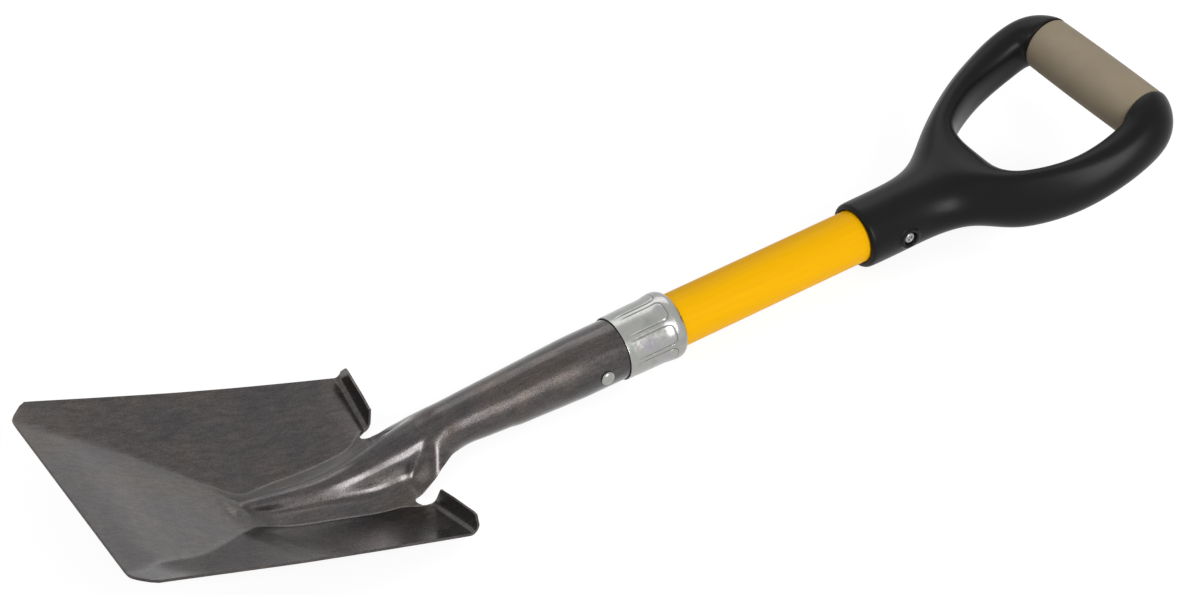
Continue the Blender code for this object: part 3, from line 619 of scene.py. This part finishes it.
def turned(profile, steps, origin, axis, side, other):
    """Solid of revolution: the profile starts and ends on the axis."""
    inner = profile[1:-1]
    verts = [origin + axis * profile[0][0]]
    for along, rad in inner:
        for k in range(steps):
            a = 2 * math.pi * k / steps
            verts.append(origin + axis * along + (side * math.cos(a) + other * math.sin(a)) * rad)
    verts.append(origin + axis * profile[-1][0])
    last = len(verts) - 1
    faces = []
    for k in range(steps):
        m = (k + 1) % steps
        faces.append([0, 1 + m, 1 + k])
        for i in range(len(inner) - 1):
            a, b = 1 + i * steps, 1 + (i + 1) * steps
            faces.append([a + k, a + m, b + m, b + k])
        a = 1 + (len(inner) - 1) * steps
        faces.append([a + k, a + m, last])
    return verts, faces


def densify(points, step):
    """More points along a profile, on a smooth curve through the given ones."""
    pts = np.array(points, float)
    out = []
    for i in range(len(pts) - 1):
        p0, p1, p2, p3 = pts[max(i - 1, 0)], pts[i], pts[i + 1], pts[min(i + 2, len(pts) - 1)]
        count = max(1, int(np.linalg.norm(p2 - p1) / step))
        for t in np.arange(count) / count:
            out.append(tuple(0.5 * (2 * p1 + (p2 - p0) * t + (2 * p0 - 5 * p1 + 4 * p2 - p3) * t ** 2
                                    + (3 * p1 - p0 - 3 * p2 + p3) * t ** 3)))
    out.append(tuple(pts[-1]))
    return out


def ferrule_shape(along, radius, angle):
    """Radius with the panels: each is raised a little inside a rounded groove."""
    pitch = 2 * math.pi / PANELS
    off = (angle - PANEL_ANGLE + pitch / 2) % pitch - pitch / 2
    side = abs(off) * FERRULE_R0 - PANEL_HALF_W + PANEL_CORNER
    end = along - (SOCKET_MOUTH_S + PANEL_END) + PANEL_CORNER
    corner = np.hypot(np.maximum(side, 0), np.maximum(end, 0))
    gap = corner + np.minimum(np.maximum(side, end), 0) - PANEL_CORNER
    fade = np.clip((along - (SOCKET_MOUTH_S - FERRULE_HOLD + PANEL_FADE_FROM)) / PANEL_FADE_RUN, 0, 1)
    raise_in = PANEL_RAISE / (1 + np.exp(gap / PANEL_STEP_SOFT))
    groove = GROOVE_DEPTH * np.exp(-(gap / GROOVE_HALF_W) ** 2)
    return radius + (raise_in - groove) * fade * (radius > PANEL_LEAST_R)


def grip_height(s):
    """How far the grip bends up from the shaft's axis at s."""
    start = GRIP_S0 + GRIP_STRAIGHT
    if s <= start:
        return 0.0
    return GRIP_LIFT * ((s - start) / (GRIP_BAR_S - start)) ** GRIP_BEND_POWER


def grip_point(s, y, out, deg, c):
    """Point of a grip section centred at (s, y) of its bent middle surface."""
    d = 0.5
    slope = math.atan2(grip_height(s + d) - grip_height(s - d), 2 * d)
    along = AX * math.cos(slope) + UP * math.sin(slope)
    normal = UP * math.cos(slope) - AX * math.sin(slope)
    turn = math.radians(deg)
    side = ACROSS * math.cos(turn) - along * math.sin(turn)
    return at(s, y, grip_height(s)) + side * out + normal * c


# Arm rings: share of the way from the fork to the bar, distance out from the end of the sleeve,
# direction in degrees, half width in plan, half depth, raise. Shoulder and bar rings: distance
# out, how much wider than the sleeve or the bar, raise
ARM = ((0.178, -11.0, 45.0, 11.0, 19.4, -0.7), (0.274, -2.6, 37.0, 10.0, 19.2, -1.1),
       (0.397, 5.2, 27.0, 10.0, 18.6, -1.1), (0.530, 10.9, 17.0, 10.8, 17.2, -0.8),
       (0.671, 13.7, 7.0, 11.9, 16.0, -0.2), (0.786, 14.7, -3.0, 13.0, 15.6, 0.5),
       (0.905, 13.8, -32.3, 14.4, 16.3, 0.8), (0.968, 9.3, -58.7, 15.4, 17.0, 0.95),
       (0.996, 4.0, -80.0, 16.6, 17.5, 0.85))
SHOULDER = ((1.5, 0.85, 0.65), (0.7, 0.65, 0.5), (0.5, -0.15, 0.2))
BAR = ((0.5, 0.9, 0.0), (0.4, 0.35, 0.0), (-0.1, 0.3, 0.0), (-5.3, 0.3, 0.0))

# Lean of the arms in degrees, by the same share
ARM_LEAN = ((0.12, 10.0), (0.70, 10.0), (0.90, 0.0))

# Shares of the half width along an arm, for its edges and for the lower inner one
ARM_FLAT = ((0.14, 1.0), (0.28, 0.80), (0.55, 0.80), (0.85, 1.0))
ARM_INNER = ((0.14, 1.0), (0.28, 0.88), (0.45, 1.05), (0.75, 1.2), (0.92, 1.1), (1.0, 1.0))

# Rings of the bore: distance along, how much wider than the bore. Rings of collar and stem:
# distance along, how much wider than the collar across and in depth, splay
BORE = ((12.0, 0.0), (2.0, 0.0), (0.5, 0.1), (0.0, 0.9))
STEM = ((0.0, -1.4, -1.4, 0), (0.7, 0.6, 0.6, 0), (3.7, 1.0, 1.0, 0),
        (24.7, 1.0, 1.0, 0), (40.7, 1.5, 0.6, 0.02), (53.7, 5.0, -0.4, 0.05),
        (FORK_LEN, 11.4, -1.0, 0.09))

# Saddle of the fork: share, height. Moved points of the arm rings: shares of width and depth
SADDLE = ((0.145, 16.0), (0.248, 11.8), (0.282, 0.0), (0.248, -11.0), (0.155, -15.8))
ARM_EDGE = {7: (-0.60, 0.92), 8: (-0.95, 0.62)}

# Screw head from its dimple to its rim: depth under the top, radius
SCREW_PROFILE = ((1.1, 0.0), (1.0, 0.8), (0.75, 1.2), (0.2, 1.45), (-0.02, 1.7), (-0.05, 2.1),
                 (0.05, 2.6), (0.3, 3.1), (0.7, 3.5), (1.1, SCREW_HEAD_R))

# Ring round the screw. Foot: radius, height over the collar. Ring: radius, share of the way
# from the collar to the ring's face. Well: depth under the face, radius
BOSS_FOOT = ((9.5, -0.06), (9.0, 0.01), (8.4, 0.03), (7.6, 0.06), (7.1, 0.16), (6.8, 0.34))
BOSS_RING = ((6.5, 0.72), (6.3, 0.93), (6.1, 1.0), (5.6, 1.0), (5.0, 1.0), (4.7, 0.94), (4.5, 0.75))
BOSS_WELL = ((0.6, RECESS_R), (RECESS_DEPTH - 0.1, 4.35), (RECESS_DEPTH, 4.2), (RECESS_DEPTH, 2.4))
BOSS_PROBE = 60.0  # the collar's surface is looked for from this far out


def lerp(x, table):
    """Value at x in a table of places and values."""
    return float(np.interp(x, [p[0] for p in table], [p[1] for p in table]))


def arm_path():
    """Every ring of one arm: share, y, direction, half width, half depth, raise."""
    path = [(k, SLEEVE_HALF + y, d, a, b, e) for k, y, d, a, b, e in ARM]
    for y, r, e in SHOULDER:
        path.append((1.0, SLEEVE_HALF + y, -90.0, SLEEVE_R + r, SLEEVE_R + r, e))
    for y, r, e in BAR:
        path.append((1.0, SLEEVE_HALF + y, -90.0, BAR_R + r, BAR_R + r, e))
    return path


def fork_s(share):
    """Distance s at a share of the way from the fork to the hand bar."""
    return GRIP_S0 + FORK_LEN + (GRIP_LEN - FORK_LEN) * share


def grip_cage():
    """Control cage of the grip. It is open in the bore and on the hand bar, out of sight."""
    verts, faces = [], []

    def add(p):
        verts.append(p)
        return len(verts) - 1

    def bridge(a, b):
        for k in range(CAGE):
            m = (k + 1) % CAGE
            faces.append([a[k], b[k], b[m], a[m]])

    def stem_ring(run, half_y, half_c, splay):
        ring = []
        for k in range(CAGE):
            a = 2 * math.pi * k / CAGE
            side = half_y * math.cos(a) * (1 - splay * math.sin(a))
            ring.append(add(grip_point(GRIP_S0 + run, 0.0, side, 0.0, half_c * math.sin(a))))
        return ring

    bore = (SHAFT_R + FIT) * CAGE_SPARE
    rings = [stem_ring(run, bore + extra, bore + extra, 0) for run, extra in BORE]
    for run, extra_y, extra_c, splay in STEM:
        rings.append(stem_ring(run, COLLAR_R + extra_y, COLLAR_R + extra_c, splay))
    for a, b in zip(rings[:-1], rings[1:]):
        bridge(a, b)
    fork = rings[-1]
    saddle = [add(grip_point(fork_s(share), 0.0, 0.0, 0.0, c)) for share, c in SADDLE]
    for sign in (1, -1):
        prev = [fork[(FORK_LOW + sign * k) % CAGE] for k in range(CAGE // 2 + 1)] + saddle
        for share, y, deg, half_w, half_c, up in arm_path():
            s = fork_s(share)
            lean = math.radians(lerp(share, ARM_LEAN))
            flat = lerp(share, ARM_FLAT)
            top, foot = (1 + flat) / 2, (3 - flat) / 2
            ring = []
            for k in range(CAGE):
                a = 2 * math.pi * k / CAGE
                out, c = half_w * math.sin(a), -half_c * math.cos(a)
                if k in ARM_EDGE and share < 1:
                    out, c = half_w * ARM_EDGE[k][0], half_c * ARM_EDGE[k][1]
                if c > 0:
                    out *= top
                else:
                    out *= lerp(share, ARM_INNER) if out < 0 else foot
                o = out * math.cos(lean) - c * math.sin(lean)
                h = out * math.sin(lean) + c * math.cos(lean)
                ring.append(add(grip_point(s, sign * y, sign * o, sign * deg, h + up)))
            if sign > 0:
                bridge(prev, ring)
            else:
                bridge(ring, prev)
            prev = ring
    return verts, faces


def add_object(name, data):
    """Add data to the scene as an object."""
    ob = bpy.data.objects.new(name, data)
    bpy.context.scene.collection.objects.link(ob)
    return ob


def new_object(name, shape):
    """Smooth object from points in millimetres and faces, its normals turned outward."""
    verts, faces = shape
    mesh = bpy.data.meshes.new(name)
    mesh.from_pydata([tuple(p) for p in place(verts)], [], [list(map(int, f)) for f in faces])
    mesh.validate()
    mesh.update()
    ob = add_object(name, mesh)
    bm = bmesh.new()
    bm.from_mesh(mesh)
    bmesh.ops.recalc_face_normals(bm, faces=bm.faces)
    bm.to_mesh(mesh)
    bm.free()
    mesh.shade_smooth()
    return ob


def bake(ob):
    """Put the result of the modifiers into the mesh."""
    bpy.context.view_layer.update()
    graph = bpy.context.evaluated_depsgraph_get()
    mesh = bpy.data.meshes.new_from_object(ob.evaluated_get(graph))
    ob.modifiers.clear()
    ob.data = mesh


def make_head():
    """The pressed head, its edges a little rounded."""
    ob = new_object("head_sheet", head_mesh())
    mod = ob.modifiers.new("edges", "BEVEL")
    mod.width = EDGE_ROUND_M
    mod.segments = EDGE_SEGMENTS
    mod.limit_method = "ANGLE"
    mod.angle_limit = EDGE_ANGLE
    mod.harden_normals = True
    bake(ob)
    return ob


def make_ferrule():
    """Sheet ferrule over the socket's mouth: plain hold, flare and rolled lip."""
    mouth, t = SOCKET_MOUTH_S, FERRULE_T
    start, end = mouth - FERRULE_HOLD, mouth + FERRULE_LONG
    r0 = FERRULE_R0
    r1 = r0 + FERRULE_FLARE
    lip = r0 + FERRULE_LIP
    rim = SHAFT_R + FIT
    outer = [(start, r0 - 0.12), (start + 0.15, r0), (start + 8, r0 + 0.1), (mouth - 4, r1 - 0.08),
             (mouth + 2.5, r1), (mouth + 6.5, r1 + 0.55), (mouth + 8.6, lip - 0.12),
             (mouth + 10.3, lip), (mouth + 12.2, lip - 0.12), (end - 2.0, lip - 0.6),
             (end - 0.7, lip - 1.5), (end, rim + 1.2), (end + 0.05, rim + 0.5)]
    inner = [(end - 0.2, rim + 0.05), (end - 0.9, rim), (end - 1.4, lip - 1.9), (end - 2.8, lip - 1.05),
             (mouth + 10.4, lip - t), (mouth + 6.8, r1 + 0.03), (mouth + 2.5, r1 - t),
             (start, r0 - t)]
    wall = densify(outer, FERRULE_STEP) + inner
    shape = lathe(wall, FERRULE_ROUND, AXIS_O, AX, ACROSS, UP, ferrule_shape)
    return new_object("ferrule_shell", shape)


def make_shaft():
    """The shaft: a tube with its ends a little chamfered."""
    r, cut = SHAFT_R, SHAFT_CHAMFER
    wall = r - SHAFT_WALL
    profile = [(SHAFT_S0, r - cut), (SHAFT_S0 + cut, r)]
    profile += [(s, r) for s in np.linspace(SHAFT_S0 + 2, SHAFT_S1 - 2, SHAFT_RINGS)]
    profile += [(SHAFT_S1 - cut, r), (SHAFT_S1, r - cut), (SHAFT_S1, wall), (SHAFT_S0, wall)]
    return new_object("shaft_skin", lathe(profile, SHAFT_ROUND, AXIS_O, AX, ACROSS, UP))


def make_rivet():
    """The rivet: a domed head on each side of the socket."""
    seat = SOCKET_R_MOUTH - RIVET_SINK
    base = seat + RIVET_RIM
    half = []
    for i in range(1, DOME_STEPS + 1):
        a = math.pi / 2 * i / DOME_STEPS
        half.append((base + RIVET_DOME * math.cos(a), RIVET_HEAD_R * math.sin(a) ** RIVET_ROUND_POWER))
    half += [(seat + 0.25, RIVET_HEAD_R), (seat, RIVET_HEAD_R - 0.15)]
    crown = base + RIVET_DOME
    profile = [(-crown, 0.0)] + [(-a, r) for a, r in half] + [(a, r) for a, r in reversed(half)]
    profile.append((crown, 0.0))
    return new_object("rivet_heads", turned(profile, SMALL_ROUND, at(RIVET_S), ACROSS, AX, UP))


def make_screw():
    """The screw's head with its dimple, down in the well of the ring."""
    low = -BOSS_Y + RECESS_DEPTH - FIT
    top = low - SCREW_HEAD_H
    profile = [(top + depth, r) for depth, r in SCREW_PROFILE]
    profile = densify(profile + [(low, SCREW_HEAD_R), (low + 0.02, 0.0)], SCREW_STEP)
    return new_object("screw_head", turned(profile, SMALL_ROUND, at(SCREW_S), ACROSS, AX, UP))


def make_sleeve():
    """Cushion sleeve of the hand bar: faintly barrelled, with rounded ends."""
    inner = BAR_R + FIT
    profile = []
    for y in np.linspace(-SLEEVE_HALF, SLEEVE_HALF, SLEEVE_RINGS):
        edge = SLEEVE_HALF - abs(y)
        barrel = SLEEVE_BARREL * (1 - (y / SLEEVE_HALF) ** 2)
        round_off = SLEEVE_ROUND * max(0.0, 1 - edge / SLEEVE_ROUND_RUN)
        profile.append((y, SLEEVE_R - SLEEVE_INSET + barrel - round_off))
    ends = []
    for y in (-SLEEVE_HALF + 0.12, -SLEEVE_HALF + 0.35):
        share = 1 - (y + SLEEVE_HALF) / SLEEVE_ROUND_RUN
        ends.append((y, SLEEVE_R - SLEEVE_ROUND * share ** 2))
    profile[1:1] = ends
    profile[-1:-1] = [(-y, r) for y, r in reversed(ends)]
    profile += [(SLEEVE_HALF, inner), (-SLEEVE_HALF, inner)]
    centre = at(GRIP_BAR_S, 0.0, GRIP_LIFT)
    return new_object("sleeve_skin", lathe(profile, SLEEVE_SIDES, centre, ACROSS, AX, UP))


def ring_points(origin, radius, heights):
    """Points round the screw's axis, each with its own distance across."""
    points = []
    for k, y in enumerate(heights):
        a = 2 * math.pi * k / BOSS_ROUND
        points.append(origin + AX * (radius * math.cos(a)) + UP * (radius * math.sin(a)) + ACROSS * y)
    return points


def boss_patch(grip):
    """The raised ring round the screw, laid over the collar's own surface."""
    bm = bmesh.new()
    bm.from_mesh(grip.data)
    tree = BVHTree.FromBMesh(bm)
    bm.free()
    origin = at(SCREW_S)
    far = place([origin - ACROSS * BOSS_PROBE])[0]
    back = Vector((0.0, 1.0, 0.0))

    def collar_heights(radius):
        """Where the collar's surface lies across, all round at one radius."""
        heights = []
        for p in place(ring_points(origin, radius, [-BOSS_PROBE] * BOSS_ROUND)):
            hit = tree.ray_cast(Vector(p), back)
            heights.append((hit[0].y - far[1]) * MM_PER_M - BOSS_PROBE)
        return heights

    rings = []
    for radius, lift in BOSS_FOOT:
        rings += ring_points(origin, radius, [y - lift for y in collar_heights(radius)])
    for radius, share in BOSS_RING:
        face = [y * (1 - share) - BOSS_Y * share for y in collar_heights(radius)]
        rings += ring_points(origin, radius, face)
    for depth, radius in BOSS_WELL:
        rings += ring_points(origin, radius, [depth - BOSS_Y] * BOSS_ROUND)
    faces = []
    for a in range(0, len(rings) - BOSS_ROUND, BOSS_ROUND):
        b = a + BOSS_ROUND
        for k in range(BOSS_ROUND):
            m = (k + 1) % BOSS_ROUND
            faces.append([a + k, a + m, b + m, b + k])
    return new_object("screw_boss", (rings, faces))


def make_grip():
    """The D-grip, and the ring over the hole that is cut for it."""
    ob = new_object("grip_body", grip_cage())
    sub = ob.modifiers.new("round", "SUBSURF")
    sub.levels = GRIP_LEVELS
    sub.render_levels = GRIP_LEVELS
    bake(ob)
    ob.data.shade_smooth()
    patch = boss_patch(ob)
    centre = Vector(place([at(SCREW_S, -COLLAR_R)])[0])
    bm = bmesh.new()
    bm.from_mesh(ob.data)
    near = [f for f in bm.faces if (f.calc_center_median() - centre).length < GRIP_HOLE_M]
    bmesh.ops.delete(bm, geom=near, context="FACES")
    bm.to_mesh(ob.data)
    bm.free()
    return ob, patch


def grey(value):
    """A neutral colour with full alpha."""
    return (value, value, value, 1.0)


def fill_ramp(node, stops):
    """Give a colour ramp its stops: place, and a grey value or a colour."""
    elements = node.color_ramp.elements
    while len(elements) < len(stops):
        elements.new(0.5)
    for element, (where, color) in zip(elements, stops):
        element.position = where
        element.color = (*color, 1.0) if isinstance(color, tuple) else grey(color)


class Look:
    """A material and its nodes."""

    def __init__(self, name):
        self.mat = bpy.data.materials.new(name)
        self.mat.use_nodes = True
        self.tree = self.mat.node_tree
        self.shader = self.tree.nodes["Principled BSDF"]
        coord = self.tree.nodes.new("ShaderNodeTexCoord")
        self.coord = coord.outputs["Object"]

    def set(self, **values):
        """Constants on the shader's own sockets."""
        for name, value in values.items():
            self.shader.inputs[name.replace("_", " ")].default_value = value

    def link(self, out, node, socket):
        """Join an output to a named input of a node."""
        self.tree.links.new(out, node.inputs[socket])

    def noise(self, scale, detail, rough, stretch=None):
        """Noise in the object's own coordinates, drawn out by stretch."""
        node = self.tree.nodes.new("ShaderNodeTexNoise")
        node.inputs["Scale"].default_value = scale
        node.inputs["Detail"].default_value = detail
        node.inputs["Roughness"].default_value = rough
        coord = self.coord
        if stretch:
            mapping = self.tree.nodes.new("ShaderNodeMapping")
            mapping.inputs["Scale"].default_value = stretch
            self.link(self.coord, mapping, "Vector")
            coord = mapping.outputs["Vector"]
        self.link(coord, node, "Vector")
        return node.outputs["Fac"]

    def ramp(self, fac, *stops):
        """Colour ramp over a value."""
        node = self.tree.nodes.new("ShaderNodeValToRGB")
        fill_ramp(node, stops)
        self.link(fac, node, "Fac")
        return node.outputs["Color"]

    def drive(self, socket, fac, *stops):
        """Let a ramp over a value drive one socket of the shader."""
        self.link(self.ramp(fac, *stops), self.shader, socket)

    def multiply(self, a, b):
        """Product of two colours."""
        node = self.tree.nodes.new("ShaderNodeMix")
        node.data_type = "RGBA"
        node.blend_type = "MULTIPLY"
        node.inputs[0].default_value = 1.0
        self.tree.links.new(a, node.inputs[6])
        self.tree.links.new(b, node.inputs[7])
        return node.outputs[2]

    def bump(self, height, strength, distance):
        """Fine relief from a value, its depth in metres."""
        node = self.tree.nodes.new("ShaderNodeBump")
        node.inputs["Strength"].default_value = strength
        node.inputs["Distance"].default_value = distance
        self.link(height, node, "Height")
        self.link(node.outputs["Normal"], self.shader, "Normal")


def steel_look():
    """Dark steel under a thin clear coat: cloudy tint, fine grain and scratches."""
    look = Look("head_steel")
    look.set(Metallic=0.85, Coat_Weight=0.5, Coat_Roughness=0.16, Coat_IOR=1.5)
    cloud = look.noise(28.0, 5.0, 0.62)
    tint = look.ramp(cloud, (0.34, (0.041, 0.036, 0.039)), (0.5, (0.052, 0.045, 0.044)),
                     (0.66, (0.060, 0.048, 0.041)))
    grain = look.noise(1300.0, 3.0, 0.75)
    fine = look.ramp(grain, (0.32, 0.52), (0.68, 1.60))
    scratch = look.noise(260.0, 4.0, 0.7, (0.25, 1.6, 1.0))
    lines = look.ramp(scratch, (0.36, 0.74), (0.66, 1.32))
    worn = look.multiply(fine, lines)
    look.link(look.multiply(tint, worn), look.shader, "Base Color")
    patches = look.noise(140.0, 4.0, 0.6)
    look.drive("Roughness", patches, (0.32, 0.22), (0.70, 0.36))
    look.bump(grain, 0.35, 0.0001)
    return look.mat


def zinc_look(name, rough_low, rough_high):
    """Zinc plating with a faint film, its grooves and hollows darkened as painted shade."""
    look = Look(name)
    look.set(Metallic=1.0)
    film = look.noise(70.0, 2.0, 0.5)
    tint = look.ramp(film, (0.30, (0.28, 0.295, 0.285)), (0.5, (0.36, 0.36, 0.34)),
                     (0.70, (0.34, 0.33, 0.35)))
    hollow = look.tree.nodes.new("ShaderNodeNewGeometry").outputs["Pointiness"]
    # Painted shade: the colour is darkened where the surface is hollow, in the panel grooves and
    # creases.
    groove_shade = look.ramp(hollow, (0.46, 0.12), (0.496, 1.0))
    look.link(look.multiply(tint, groove_shade), look.shader, "Base Color")
    wear = look.noise(420.0, 4.0, 0.65)
    look.drive("Roughness", wear, (0.3, rough_low), (0.75, rough_high))
    look.bump(wear, 0.015, 0.0001)
    return look.mat


def fibreglass_look():
    """Yellow fibreglass with faint streaks along the shaft."""
    look = Look("fibreglass")
    look.set(Specular_IOR_Level=0.06, Coat_Weight=0.03, Coat_Roughness=0.25)
    streak = look.noise(60.0, 3.0, 0.5, (0.15, 6.0, 6.0))
    look.drive("Base Color", streak, (0.3, (0.88, 0.445, 0.0)), (0.7, (0.92, 0.47, 0.0)))
    fine = look.noise(700.0, 2.0, 0.5)
    look.drive("Roughness", fine, (0.3, 0.40), (0.7, 0.48))
    look.bump(streak, 0.06, 0.0003)
    return look.mat


def grip_look():
    """Black moulded plastic with a fine grain."""
    look = Look("grip_plastic")
    look.set(Specular_IOR_Level=0.13)
    cloud = look.noise(45.0, 3.0, 0.5)
    look.drive("Base Color", cloud, (0.3, (0.0055, 0.0050, 0.0056)), (0.7, (0.0074, 0.0068, 0.0074)))
    fine = look.noise(1500.0, 2.0, 0.5)
    look.drive("Roughness", fine, (0.3, 0.31), (0.7, 0.39))
    look.bump(fine, 0.08, 0.0001)
    return look.mat


def sleeve_look():
    """Taupe rubber, soft and dull."""
    look = Look("sleeve_rubber")
    look.set(Specular_IOR_Level=0.15, Sheen_Weight=0.05, Sheen_Roughness=0.5)
    cloud = look.noise(60.0, 4.0, 0.6)
    look.drive("Base Color", cloud, (0.3, (0.315, 0.258, 0.182)), (0.7, (0.345, 0.285, 0.203)))
    fine = look.noise(2200.0, 2.0, 0.5)
    look.drive("Roughness", fine, (0.3, 0.68), (0.7, 0.82))
    look.bump(fine, 0.2, 0.0001)
    return look.mat


def wood_look():
    """Plain wood of the two dowels, which are out of sight."""
    look = Look("dowel_wood")
    grain = look.noise(40.0, 4.0, 0.6, (0.1, 4.0, 4.0))
    look.drive("Base Color", grain, (0.3, (0.36, 0.22, 0.10)), (0.7, (0.55, 0.37, 0.19)))
    look.set(Roughness=0.7)
    return look.mat


def show(ob, mat, slot, *nodes):
    """Give a piece its material and let it stand for its CAD node."""
    ob.data.materials.clear()
    ob.data.materials.append(mat)
    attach(ob, "root")
    if nodes:
        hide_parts(*nodes)


def build_tool():
    """Every piece with its material. The dowels are CAD nodes."""
    show(make_head(), steel_look(), "head_steel", "blade_and_socket")
    show(make_shaft(), fibreglass_look(), "fibreglass", "shaft_tube")
    show(make_ferrule(), zinc_look("ferrule_zinc", 0.16, 0.34), "zinc", "ferrule")
    show(make_rivet(), zinc_look("rivet_zinc", 0.18, 0.30), "zinc", "head_rivet")
    grip, patch = make_grip()
    plastic = grip_look()
    show(grip, plastic, "grip_plastic", "d_grip")
    show(patch, plastic, "grip_plastic")
    show(make_sleeve(), sleeve_look(), "sleeve_rubber", "grip_sleeve")
    show(make_screw(), zinc_look("screw_zinc", 0.22, 0.34), "screw_steel", "grip_screw")
    wood = wood_look()
    for name in ("head_end_dowel", "grip_end_dowel"):
        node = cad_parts[name]
        node.data.materials.clear()
        node.data.materials.append(wood)


def back_vector(azimuth, elevation):
    """Direction from the tool towards a camera or a lamp."""
    return Vector((math.sin(azimuth) * math.cos(elevation),
                   -math.cos(azimuth) * math.cos(elevation),
                   math.sin(elevation)))


def add_camera():
    """The photograph's camera."""
    back = back_vector(CAMERA_AZIMUTH, CAMERA_ELEVATION)
    level = Vector((math.cos(CAMERA_AZIMUTH), math.sin(CAMERA_AZIMUTH), 0.0))
    up = back.cross(level)
    right = level * math.cos(CAMERA_ROLL) + up * math.sin(CAMERA_ROLL)
    up = back.cross(right)
    data = bpy.data.cameras.new("camera")
    camera = add_object("camera", data)
    turn = Matrix((right, up, back)).transposed().to_4x4()
    camera.matrix_world = Matrix.Translation(CAMERA_AT) @ turn
    data.sensor_width = CAMERA_SENSOR_MM
    data.lens = CAMERA_LENS_MM
    data.clip_end = CAMERA_CLIP_END
    bpy.context.scene.camera = camera


def add_light(name, azimuth, elevation, distance, width, height, power):
    """Area lamp that faces the middle of the tool."""
    back = back_vector(math.radians(azimuth), math.radians(elevation))
    data = bpy.data.lights.new(name, "AREA")
    data.shape = "RECTANGLE"
    data.size = width
    data.size_y = height
    data.energy = power
    light = add_object(name, data)
    light.location = LAMP_TARGET + back * distance
    light.rotation_euler = back.to_track_quat("Z", "Y").to_euler()


def background_ray(tree):
    """1 for the rays that show the background: camera, mirror and transmission rays."""
    path = tree.nodes.new("ShaderNodeLightPath")
    total = path.outputs["Is Camera Ray"]
    for name in ("Is Glossy Ray", "Is Transmission Ray"):
        node = tree.nodes.new("ShaderNodeMath")
        node.operation = "MAXIMUM"
        tree.links.new(total, node.inputs[0])
        tree.links.new(path.outputs[name], node.inputs[1])
        total = node.outputs["Value"]
    return total


def show_by_ray(tree, lit, seen, output):
    """Background rays get the shader seen, all others the shader lit."""
    mix = tree.nodes.new("ShaderNodeMixShader")
    tree.links.new(background_ray(tree), mix.inputs[0])
    tree.links.new(lit, mix.inputs[1])
    tree.links.new(seen, mix.inputs[2])
    tree.links.new(mix.outputs["Shader"], tree.nodes[output].inputs["Surface"])


def add_floor():
    """A pale floor, seen as white with a faint shadow of the tool."""
    half, z = FLOOR_HALF, FLOOR_Z
    mesh = bpy.data.meshes.new("floor")
    mesh.from_pydata([(-half, -half, z), (half, -half, z), (half, half, z), (-half, half, z)],
                     [], [(0, 1, 2, 3)])
    floor = add_object("floor", mesh)
    mat = bpy.data.materials.new("floor_white")
    mat.use_nodes = True
    tree = mat.node_tree
    paper = tree.nodes["Principled BSDF"]
    paper.inputs["Base Color"].default_value = grey(FLOOR_PAPER)
    paper.inputs["Roughness"].default_value = 0.9
    shade = tree.nodes.new("ShaderNodeBsdfDiffuse")
    shade.inputs["Color"].default_value = grey(FLOOR_SHADE)
    glow = tree.nodes.new("ShaderNodeEmission")
    glow.inputs["Strength"].default_value = FLOOR_GLOW
    seen = tree.nodes.new("ShaderNodeAddShader")
    tree.links.new(shade.outputs["BSDF"], seen.inputs[0])
    tree.links.new(glow.outputs["Emission"], seen.inputs[1])
    show_by_ray(tree, paper.outputs["BSDF"], seen.outputs["Shader"], "Material Output")
    mesh.materials.append(mat)


def add_world():
    """White where it is seen, softly graded for the light that falls on the tool."""
    world = bpy.data.worlds.new("studio")
    bpy.context.scene.world = world
    world.use_nodes = True
    tree = world.node_tree
    plain = tree.nodes["Background"]
    plain.inputs["Color"].default_value = grey(1.0)
    room = tree.nodes.new("ShaderNodeBackground")
    coord = tree.nodes.new("ShaderNodeTexCoord")
    split = tree.nodes.new("ShaderNodeSeparateXYZ")
    ramp = tree.nodes.new("ShaderNodeValToRGB")
    fill_ramp(ramp, ROOM_STOPS)
    tree.links.new(coord.outputs["Generated"], split.inputs["Vector"])
    tree.links.new(split.outputs["Z"], ramp.inputs["Fac"])
    tree.links.new(ramp.outputs["Color"], room.inputs["Color"])
    show_by_ray(tree, room.outputs["Background"], plain.outputs["Background"], "World Output")


def add_studio():
    """Camera, floor, surroundings and lamps."""
    bpy.context.scene.view_settings.view_transform = "Standard"
    add_camera()
    add_floor()
    add_world()
    for lamp in LAMPS:
        add_light(*lamp)


build_tool()
add_studio()
